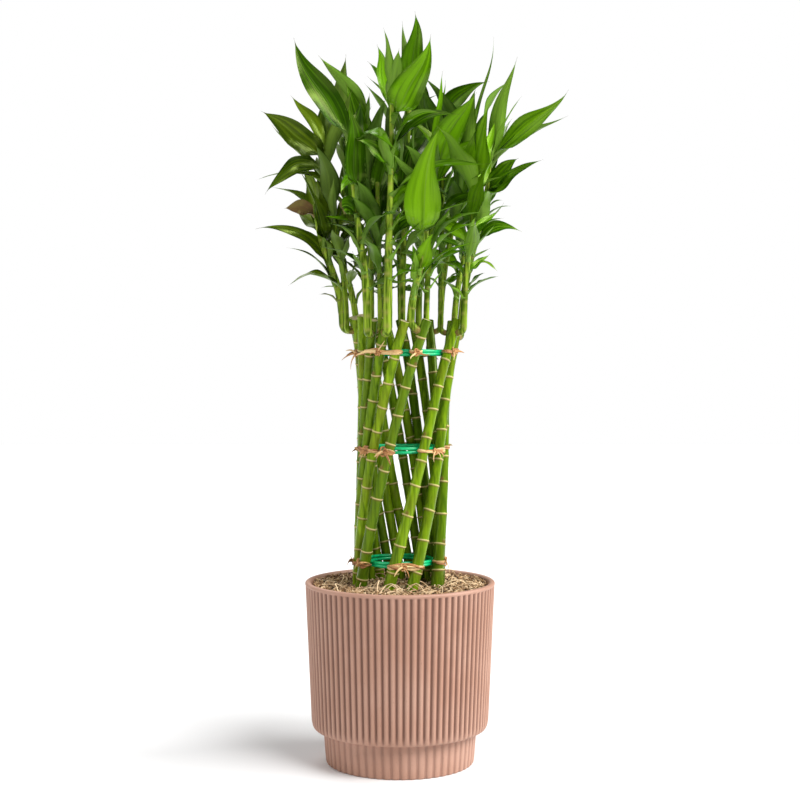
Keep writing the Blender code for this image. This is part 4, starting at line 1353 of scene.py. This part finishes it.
def tube_guard(points: list[Vector], radii: list[float], sides: int = 6) -> BVHTree:
    """A rough tube round a path, for telling what would touch it."""
    corners: list[Vector] = []
    turns = [2 * math.pi * k / sides for k in range(sides)]
    for i, (point, radius) in enumerate(zip(points, radii)):
        along = (points[min(i + 1, len(points) - 1)] - points[max(i - 1, 0)]).normalized()
        across = along.cross(FRONT).normalized()
        other = along.cross(across)
        corners += [point + radius * (math.cos(t) * across + math.sin(t) * other) for t in turns]
    last = len(corners) - sides
    ends = [tuple(range(sides))[::-1], tuple(range(last, len(corners)))]
    return guard_tree(corners, side_faces(len(corners), sides) + ends)


class Stem:
    """A shoot's stem: out of its cane's side, round an elbow and up to its growing tip."""

    def __init__(self, shoot: Shoot, cane: Cane) -> None:
        """Works out the stem's base, elbow and the handles of its curve."""
        self.shoot = shoot
        z = cane.tip_z - SHOOT_BELOW_TIP
        along = (cane.centre(cane.tip_z) - cane.centre(z)).normalized()
        out = towards(shoot.azimuth)
        out = (out - out.dot(along) * along).normalized()
        self.out = out
        self.base = cane.centre(z) + out * (float(cane.radius(z)) + GAP)
        reach = SHOOT_ELBOW_SHARE * shoot.radius + SHOOT_ELBOW_LEAST
        self.corner = self.base + out * reach
        self.elbow = self.base + out * reach * 0.6
        self.tip = Vector(shoot.tip)
        start = self.base + (out + UP) * reach
        rise = self.tip.z - start.z
        lean = (self.tip - start) / rise
        self.handles = (
            start,
            start + rise * 0.35 * (UP + lean * 0.35),
            self.tip - rise * 0.35 * (UP * 0.9 + lean * 0.45),
            self.tip,
        )

    def at(self, share: float) -> Vector:
        """The stem's axis above its elbow, as a cubic curve."""
        return cubic(self.handles, share)

    def share_at_height(self, z: float) -> float:
        """The share of the stem's axis nearest to height z."""
        shares = (i / AXIS_STEPS for i in range(AXIS_STEPS + 1))
        return min(shares, key=lambda share: abs(self.at(share).z - z))

    def radius(self, share: Array) -> Array:
        """The stem's radius above its elbow."""
        return mix(self.shoot.radius, SHOOT_TIP_RADIUS, share**1.3)

    def guard(self) -> BVHTree:
        """A rough tube round the stem."""
        shares = [i / (SHOOT_POINTS - 1) for i in range(SHOOT_POINTS)]
        points = [self.base, self.elbow, *(self.at(share) for share in shares)]
        radii = [self.shoot.radius] * 2 + [float(self.radius(share)) for share in shares]
        return tube_guard(points, [radius + LEAF_GUARD for radius in radii])

    def axis(self, count: int) -> tuple[Array, Array]:
        """The whole axis as an array: a round elbow out of the cane, then the cubic.

        Returns:
            The points and, for each, its share of the cubic, which is below 0 on the elbow.
        """
        start = self.handles[0]
        bend = np.linspace(0, 1, 9)[:-1, None]
        base, corner = np.array(self.base - self.out * 0.002), np.array(self.corner)
        elbow = (1 - bend) ** 2 * base + 2 * bend * (1 - bend) * corner + bend**2 * np.array(start)
        shares = np.linspace(0, 1, count)
        rising = cubic(tuple(np.array(handle) for handle in self.handles), shares[:, None])
        return np.concatenate([elbow, rising]), np.concatenate([bend[:, 0] - 1, shares])


@dataclass(frozen=True)
class Growth:
    """How a kind of leaf changes from the foot of a stem to its tip, and the range of each leaf's chances."""

    root: Span
    length: Span
    length_power: float
    length_chance: Span
    rise: Span
    rise_power: float
    rise_chance: Span
    width: Span
    arch: Span
    turn: Span

    def leaf(self, stem: Stem, share: float, azimuth: float, dice: random.Random) -> Leaf:
        """A leaf at this share of the way up, in this azimuth; length and rise go with the share's powers."""
        root = stem.at(mix(*self.root, share))
        length = mix(*self.length, share**self.length_power) * dice.uniform(*self.length_chance)
        rise = math.radians(mix(*self.rise, share**self.rise_power) + dice.uniform(*self.rise_chance))
        tip = root + length * (math.cos(rise) * towards(azimuth) + math.sin(rise) * UP)
        width = length * dice.uniform(*self.width)
        return Leaf(root, tip, width, dice.uniform(*self.arch), dice.uniform(*self.turn))


# Leaves of the rule are short and spreading low on the stem, and long and upright near its tip. Finer ones
# fill in between them: a bract low on the stem, a young leaf higher up.
RULE = Growth(
    root=(0.16, 0.98),
    length=(0.050, 0.138),
    length_power=0.7,
    length_chance=(0.85, 1.12),
    rise=(20, 68),
    rise_power=1.2,
    rise_chance=(-10, 10),
    width=(0.22, 0.29),
    arch=(0.04, 0.16),
    turn=(-25, 45),
)
FINER = Growth(
    root=(0, 1),
    length=(0.022, 0.115),
    length_power=0.9,
    length_chance=(0.75, 1.2),
    rise=(34, 60),
    rise_power=1,
    rise_chance=(-16, 16),
    width=(0.15, 0.23),
    arch=(-0.04, 0.20),
    turn=(-30, 60),
)


class Grower:
    """Grows the leaves of every shoot by the part's rule, and then finer ones in what room is left."""

    def __init__(self, stems: list[Stem], canes: list[Cane], finer: int) -> None:
        """Sets up the guards of what stands already.

        Args:
            stems: the shoots' stems.
            canes: the canes.
            finer: how many finer leaves each shoot tries to grow.
        """
        self.stems = stems
        self.finer = finer
        self.stem_guards = [stem.guard() for stem in stems]
        self.cane_guards = []
        for cane in canes:
            heights = [mix(TIE_LEVELS[1], cane.tip_z, i / 8) for i in range(9)]
            points = [cane.centre(z) for z in heights]
            self.cane_guards.append(tube_guard(points, [float(cane.radius(z)) * 1.1 for z in heights]))
        self.leaves: list[list[Leaf]] = [[] for _ in stems]
        self.leaf_guards: list[list[BVHTree]] = [[] for _ in stems]

    def place(self, number: int, leaf: Leaf, beside_own: bool) -> bool:
        """Keeps the leaf if it touches no cane and nothing of another shoot, nor, beside_own, of its own."""
        guard = leaf.guard()
        others = [stem for other, stem in enumerate(self.stem_guards) if other != number]
        for other, trees in enumerate(self.leaf_guards):
            if other != number or beside_own:
                others += trees
        if any(guard.overlap(other) for other in self.cane_guards + others):
            return False
        self.leaves[number].append(leaf)
        self.leaf_guards[number].append(guard)
        return True

    def listed(self, table: dict[int, tuple], number: int) -> Iterator[Leaf]:
        """A shoot's leaves from one of the tables."""
        stem = self.stems[number]
        for place, (root_z, x, y, z, width, arch, turn) in enumerate(table.get(number, ())):
            root = stem.at(stem.share_at_height(root_z * MM))
            withered = WITHERED_LEAVES.get((number, place), 0.0) if table is LONG_LEAVES else 0.0
            torn = table is FRONT_LEAVES and (number, place) in TORN_LEAVES
            yield Leaf(root, Vector((x, y, z)) * MM, width * MM, arch / 100, turn, withered, torn)

    def long_leaves(self) -> None:
        """The long leaves, which are placed first."""
        for number in range(len(self.stems)):
            for leaf in self.listed(LONG_LEAVES, number):
                if not self.place(number, leaf, False):
                    log.info("skipped a long leaf of shoot %d with its tip at %s", number, tuple(leaf.tip))

    def front_leaves(self) -> None:
        """The leaves at the front, each in place of the rule's leaves that it would touch."""
        for number in range(len(self.stems)):
            for leaf in self.listed(FRONT_LEAVES, number):
                guard = leaf.guard()
                for other, trees in enumerate(self.leaf_guards):
                    long = len(LONG_LEAVES.get(other, ()))
                    keep = [i for i, tree in enumerate(trees) if i < long or not guard.overlap(tree)]
                    self.leaves[other] = [self.leaves[other][i] for i in keep]
                    self.leaf_guards[other] = [trees[i] for i in keep]
                self.leaves[number].append(leaf)
                self.leaf_guards[number].append(guard)

    def before_stem(self, number: int, leaf: Leaf) -> bool:
        """Whether the leaf would stand in front of a stem that stays in sight."""
        reach = leaf.tip - leaf.root
        spread = math.degrees(math.atan2(abs(reach.x), -reach.y))
        return leaf.root.z < BARE_FRONT.get(number, 0.0) and spread < BARE_FRONT_SPREAD

    def fitted(self, number: int, leaf: Leaf) -> bool:
        """Keeps a leaf if it leaves the bare stem in sight, stays in the crown and touches nothing."""
        return not self.before_stem(number, leaf) and in_crown(leaf.tip) and self.place(number, leaf, True)

    def rule_leaves(self) -> None:
        """The spiral of leaves round each stem."""
        for number, stem in enumerate(self.stems):
            dice = random.Random(stem.shoot.seed)
            count = max(FEWEST_RULE_LEAVES, LEAVES_A_SHOOT - len(self.leaves[number]))
            phase = dice.uniform(0, 360)
            for i in range(count):
                for attempt in range(LEAF_TRIES):
                    turn = phase + LEAF_TURN * i + dice.uniform(-20, 20) + LEAF_TURN_AGAIN * attempt
                    if self.fitted(number, RULE.leaf(stem, i / (count - 1), turn, dice)):
                        break

    def finer_leaves(self) -> None:
        """Small leaves between the others, from the foot of each stem to its tip."""
        for number, stem in enumerate(self.stems):
            dice = random.Random(1000 + stem.shoot.seed)
            for i in range(self.finer):
                for _ in range(LEAF_TRIES):
                    share = ((i + dice.uniform(0, 1)) / self.finer) ** 0.65
                    leaf = FINER.leaf(stem, mix(0.12, 0.97, share), dice.uniform(0, 360), dice)
                    if self.fitted(number, leaf):
                        break

    def grow(self) -> list[list[Leaf]]:
        """Grows everything in order, and reports how many leaves each shoot has."""
        for step in (self.long_leaves, self.rule_leaves, self.front_leaves, self.finer_leaves):
            step()
            log.info("after %s: %s", step.__name__, [len(group) for group in self.leaves])
        return self.leaves


# ---------------------------------------------------------------- the shoots' surfaces


@dataclass(frozen=True)
class LeafCut:
    """How a blade is cut and bent: it clasps the stem, opens, sways and waves, and is drawn out to a thread.

    A torn leaf stops short of its outline's end, at a ragged edge.
    """

    stations: int = 22
    top_columns: int = 9
    thread: float = 0.95
    thread_half: float = 0.0008
    torn_share: float = 0.55
    torn_depth: float = 0.004
    clasp: float = 4.0
    open_bend: float = 0.62
    open_share: float = 0.26
    clasp_share: float = 0.10
    turn_share: float = 0.30
    neck: float = 0.0026
    wave: float = 0.26
    curl: float = 1.0
    sway: float = 0.11
    thick: float = 0.0007
    keel: float = 0.0006
    off_stem: float = 0.0003

    def spine(self, leaf: Leaf, slope: Array, off: float, u: Array, dice: random.Random) -> tuple[Array, ...]:
        """The keel's line: a cubic that leaves along the stem, ends in the leaf's tip and sways as a sine.

        Args:
            leaf: the leaf.
            slope: the stem's unit slope at the leaf's root.
            off: how far from the stem's axis the line starts.
            u: shares of the leaf's length.
            dice: the leaf's own chances.

        Returns:
            The line's points, and its slope, the blade's side and its face there, with the leaf's own turn.
        """
        chord, _, upper = (np.array(v) for v in leaf.frame())
        length = leaf.length()
        out = unit(chord - slope * (chord @ slope))
        root, tip = np.array(leaf.root) + out * off, np.array(leaf.tip)
        near = root + 0.30 * length * unit(0.62 * slope + 0.75 * chord) + upper * leaf.arch * length * 0.9
        far = mix(root, tip, 0.68) + upper * leaf.arch * length * 1.45
        s, r = u[:, None], 1 - u[:, None]
        line = cubic((root, near, far, tip), s)
        along = unit(3 * r**2 * (near - root) + 6 * r * s * (far - near) + 3 * s**2 * (tip - far))
        face = mix(-out, upper, ease(u / 0.35)[:, None])
        face = unit(face - along * (face * along).sum(axis=1, keepdims=True))
        side = np.cross(along, face)
        turn = (leaf.spin() * ease(u / self.turn_share) + dice.uniform(-self.curl, self.curl) * u**2)[:, None]
        side, face = side * np.cos(turn) - face * np.sin(turn), face * np.cos(turn) + side * np.sin(turn)
        sway = wavering(dice, u, 4, 8) * u**1.5 * (1 - u)
        return line + side * (self.sway * length * sway)[:, None], along, side, face

    def surface(
        self, leaf: Leaf, stem_slope: Array, stem_radius: float, dice: random.Random
    ) -> dict[str, Array]:
        """The blade as a flat closed tube round its keel's line.

        Across the line the blade is an arc of radius half width / half bend, so that it clasps the stem where
        the bend is large, and lies open where it is small. The edges add a sine of the length.

        Args:
            leaf: the leaf.
            stem_slope: the stem's unit slope at the leaf's root.
            stem_radius: the stem's radius there.
            dice: the leaf's own chances.

        Returns:
            The rings and the values along, across and under.
        """
        u = np.linspace(0, 1, self.stations)
        u = u + 0.35 * u * (1 - u) * (2 * u - 1)
        line, slope, side, face = self.spine(leaf, stem_slope, stem_radius + self.off_stem, u, dice)
        blade = self.torn_share * u if leaf.torn else np.clip(u / self.thread, 0, 1)
        outline = np.sin(np.pi * blade ** dice.uniform(0.68, 0.92)) ** dice.uniform(0.95, 1.20)
        half = np.maximum(leaf.width / 2 * outline, self.neck * (1 - ease((u - 0.12) / 0.3)))
        half = np.maximum(half, self.thread_half * (1.15 - u))
        bend = mix(self.open_bend, self.clasp, 1 - ease(u / self.open_share))
        clasped = 1 - ease(u / self.clasp_share)
        half = np.maximum(half, (stem_radius + 0.0005) * bend / 2 * clasped)[:, None]
        bend = bend[:, None]
        w = np.linspace(-1, 1, self.top_columns)
        ring = np.concatenate([w, w[-2:0:-1]])
        top = np.concatenate([np.ones(self.top_columns), -np.ones(self.top_columns - 2)])
        top[[0, self.top_columns - 1]] = 0
        arc = ring * bend / 2
        radius = half / (bend / 2)
        opened = ease(u / self.turn_share)[:, None]
        x = radius * np.sin(arc)
        y = radius * (1 - np.cos(arc)) + 0.16 * half * np.abs(ring) * opened
        ripple = np.sin(dice.uniform(9, 15) * u[:, None] + dice.uniform(0, 6) + 1.3 * np.sign(ring))
        y = y + self.wave * half * ring**2 * ripple * (opened * (1 - u[:, None] ** 3))
        body = self.thick / 2 * (1 - 0.75 * ring**2) * np.where(half > 0.001, 1, half / 0.001)
        y = y + top * body - self.keel * hump(ring, 0.16) * (1 - u)[:, None] * (top < 0)
        rings = line[:, None] + side[:, None] * x[..., None] + face[:, None] * y[..., None]
        if leaf.torn:
            rag = np.array([dice.uniform(-1, 1) for _ in w])
            rag = self.torn_depth * np.concatenate([rag, rag[-2:0:-1]])[:, None]
            rings[-3:] += slope[-3:, None] * rag * np.array([0.4, 0.7, 1.0])[:, None, None]
        under = (top < 0).astype(float)
        return {"rings": rings, "along": u[:, None], "across": (ring + 1) / 2, "under": under}


@dataclass(frozen=True)
class Crown:
    """All the shoots: a spray of leaves on a stem in sheaths, which make it thicker than the bare stem."""

    stem_stations: int = 70
    stem_sides: int = 14
    sheathed: float = 1.2
    sheath: float = 0.017
    sheath_step: float = 0.07
    sheath_slant: float = 0.0022
    finer: int = 17
    hue_seed: int = 45642
    cut: LeafCut = LeafCut()

    def stem(self, name: str, stem: Stem, material: bpy.types.Material) -> None:
        """A stem: its radius times 1 plus a saw of its length, one slanted tooth for each sheath."""
        path, share = stem.axis(self.stem_stations)
        r = self.sheathed * stem.radius(np.clip(share, 0, 1))[:, None]
        run = run_length(path)
        slant = self.sheath_slant * np.cos(round_angles(self.stem_sides) + stem.shoot.seed)
        phase = (run[:, None] + slant) / self.sheath
        tooth = phase % 1
        step = self.sheath_step * (ease(tooth / 0.15) - 0.8 * tooth)
        edge = hump(np.minimum(tooth, 1 - tooth), 0.07)
        reference = np.array([0.05, 1.0, 0.0]) if abs(stem.out.y) < 0.8 else np.array([1.0, 0.05, 0.0])
        collar = 0.8 * (1 - ease((run - 0.003) / 0.007))[:, None]
        heap = Heap("edge", "collar")
        heap.add(swollen(path, r * (1 + step), reference), edge=0.7 * edge, collar=collar)
        heap.settle(f"{name}_stem", material, Slot.LEAF, name)

    def spray(self, name: str, stem: Stem, leaves: list[Leaf], material: bpy.types.Material) -> None:
        """The shoot's leaves, joined into one piece."""
        heap = Heap("along", "across", "under", "tint", "shade", "withered")
        axis = np.array([tuple(stem.at(i / AXIS_STEPS)) for i in range(AXIS_STEPS + 1)])
        slopes = unit(np.gradient(axis, axis=0))
        dice = random.Random(500 + stem.shoot.seed)
        hues = random.Random(self.hue_seed + stem.shoot.seed)
        for leaf in leaves:
            nearest = int(np.argmin(np.linalg.norm(axis - np.array(leaf.root), axis=1)))
            around = self.sheathed * float(stem.radius(nearest / AXIS_STEPS))
            blade = self.cut.surface(leaf, slopes[nearest], around, dice)
            tint, shade = 10 * hues.random(), hues.random() ** 1.2
            heap.add(blade.pop("rings")[None], **blade, tint=tint, shade=shade, withered=leaf.withered)
        heap.settle(f"{name}_leaves", material, Slot.LEAF, name, sharp=70)

    def build(self, canes: list[Cane]) -> None:
        """Grows the leaves, and makes a stem and a spray of each shoot."""
        stems = [Stem(shoot, canes[shoot.cane]) for shoot in SHOOTS]
        sprays = Grower(stems, canes, self.finer).grow()
        green = StemFinish().material()
        tones = {tone: tone.value.material() for tone in Tone}
        for number, (stem, leaves) in enumerate(zip(stems, sprays), 1):
            name = f"shoot_{number:02d}"
            self.stem(name, stem, green)
            self.spray(name, stem, leaves, tones[stem.shoot.tone])


# ---------------------------------------------------------------- the studio


@dataclass(frozen=True)
class Lamp:
    """A far soft lamp: the azimuth and height it shines from and its width, in degrees, and its strength."""

    name: str
    azimuth: float
    height: float
    width: float
    strength: float


@dataclass(frozen=True)
class Studio:
    """A pale floor and sky, soft lamps, and the camera straight in front."""

    lamps: tuple[Lamp, ...] = (
        Lamp("key", 44, 46, 30, 2.65),
        Lamp("side", 84, 32, 40, 3.1),
        Lamp("fill", -72, 26, 50, 1.1),
        Lamp("back", 200, 50, 40, 1.0),
    )
    sky: float = 0.16
    backdrop: float = 1.0
    camera_place: tuple[float, float, float] = (0.0, -2.02, 0.545)
    camera_shift: float = -0.05625
    lens: float = 67.5
    sensor: float = 36.0
    floor_size: float = 14.0
    floor_greys: tuple[float, float] = (0.79, 0.81)

    def floor(self) -> None:
        """A wide plain floor."""
        paint = Paint("pale floor", 0.9)
        low, high = ((grey, grey, grey, 1) for grey in self.floor_greys)
        h = self.floor_size / 2
        mesh = bpy.data.meshes.new("floor")
        mesh.from_pydata([(-h, -h, 0), (h, -h, 0), (h, h, 0), (-h, h, 0)], [], [(0, 1, 2, 3)])
        mesh.materials.append(paint.finish(paint.layered(low, (paint.noise(paint.place(), 3, 2), high))))
        placed("floor", mesh)

    def lights(self) -> None:
        """The lamps, each aimed at the plant, and an even sky that is plain white where it is seen."""
        for lamp in self.lamps:
            data = bpy.data.lights.new(lamp.name, "SUN")
            data.angle = math.radians(lamp.width)
            data.energy = lamp.strength
            height = math.radians(lamp.height)
            place = towards(lamp.azimuth) * math.cos(height) + UP * math.sin(height)
            placed(lamp.name, data).rotation_euler = place.to_track_quat("Z", "Y").to_euler()
        world = bpy.data.worlds.new("studio")
        world.use_nodes = True
        nodes, links = world.node_tree.nodes, world.node_tree.links
        strength = nodes.new("ShaderNodeMapRange")
        links.new(nodes.new("ShaderNodeLightPath").outputs["Is Camera Ray"], strength.inputs["Value"])
        strength.inputs["To Min"].default_value = self.sky
        strength.inputs["To Max"].default_value = self.backdrop
        links.new(strength.outputs["Result"], nodes["Background"].inputs["Strength"])
        nodes["Background"].inputs["Color"].default_value = (1, 1, 1, 1)
        bpy.context.scene.world = world
        bpy.context.scene.view_settings.view_transform = "Standard"

    def camera(self) -> None:
        """The camera, level, above the plant's middle, and shifted so that the plant fills its view."""
        data = bpy.data.cameras.new("camera")
        data.lens = self.lens
        data.sensor_width = self.sensor
        data.shift_y = self.camera_shift
        obj = placed("camera", data)
        obj.location = self.camera_place
        obj.rotation_euler = (math.radians(90), 0, 0)
        bpy.context.scene.camera = obj

    def build(self) -> None:
        """Sets up the camera, the floor and the lights."""
        self.camera()
        self.floor()
        self.lights()


def main() -> None:
    """Builds the studio and the plant, piece by piece."""
    logging.basicConfig(level=logging.INFO, format="%(message)s", stream=sys.stdout)
    Studio().build()
    planter = Planter()
    planter.build()
    MossBed(planter).build()
    stand = CaneStand()
    canes = stand.canes()
    bowed = stand.bowed(canes)
    stand.build(bowed)
    Hoops().build(canes)
    RaffiaTies().build(bowed)
    Crown().build(canes)


if __name__ == "__main__":
    main()
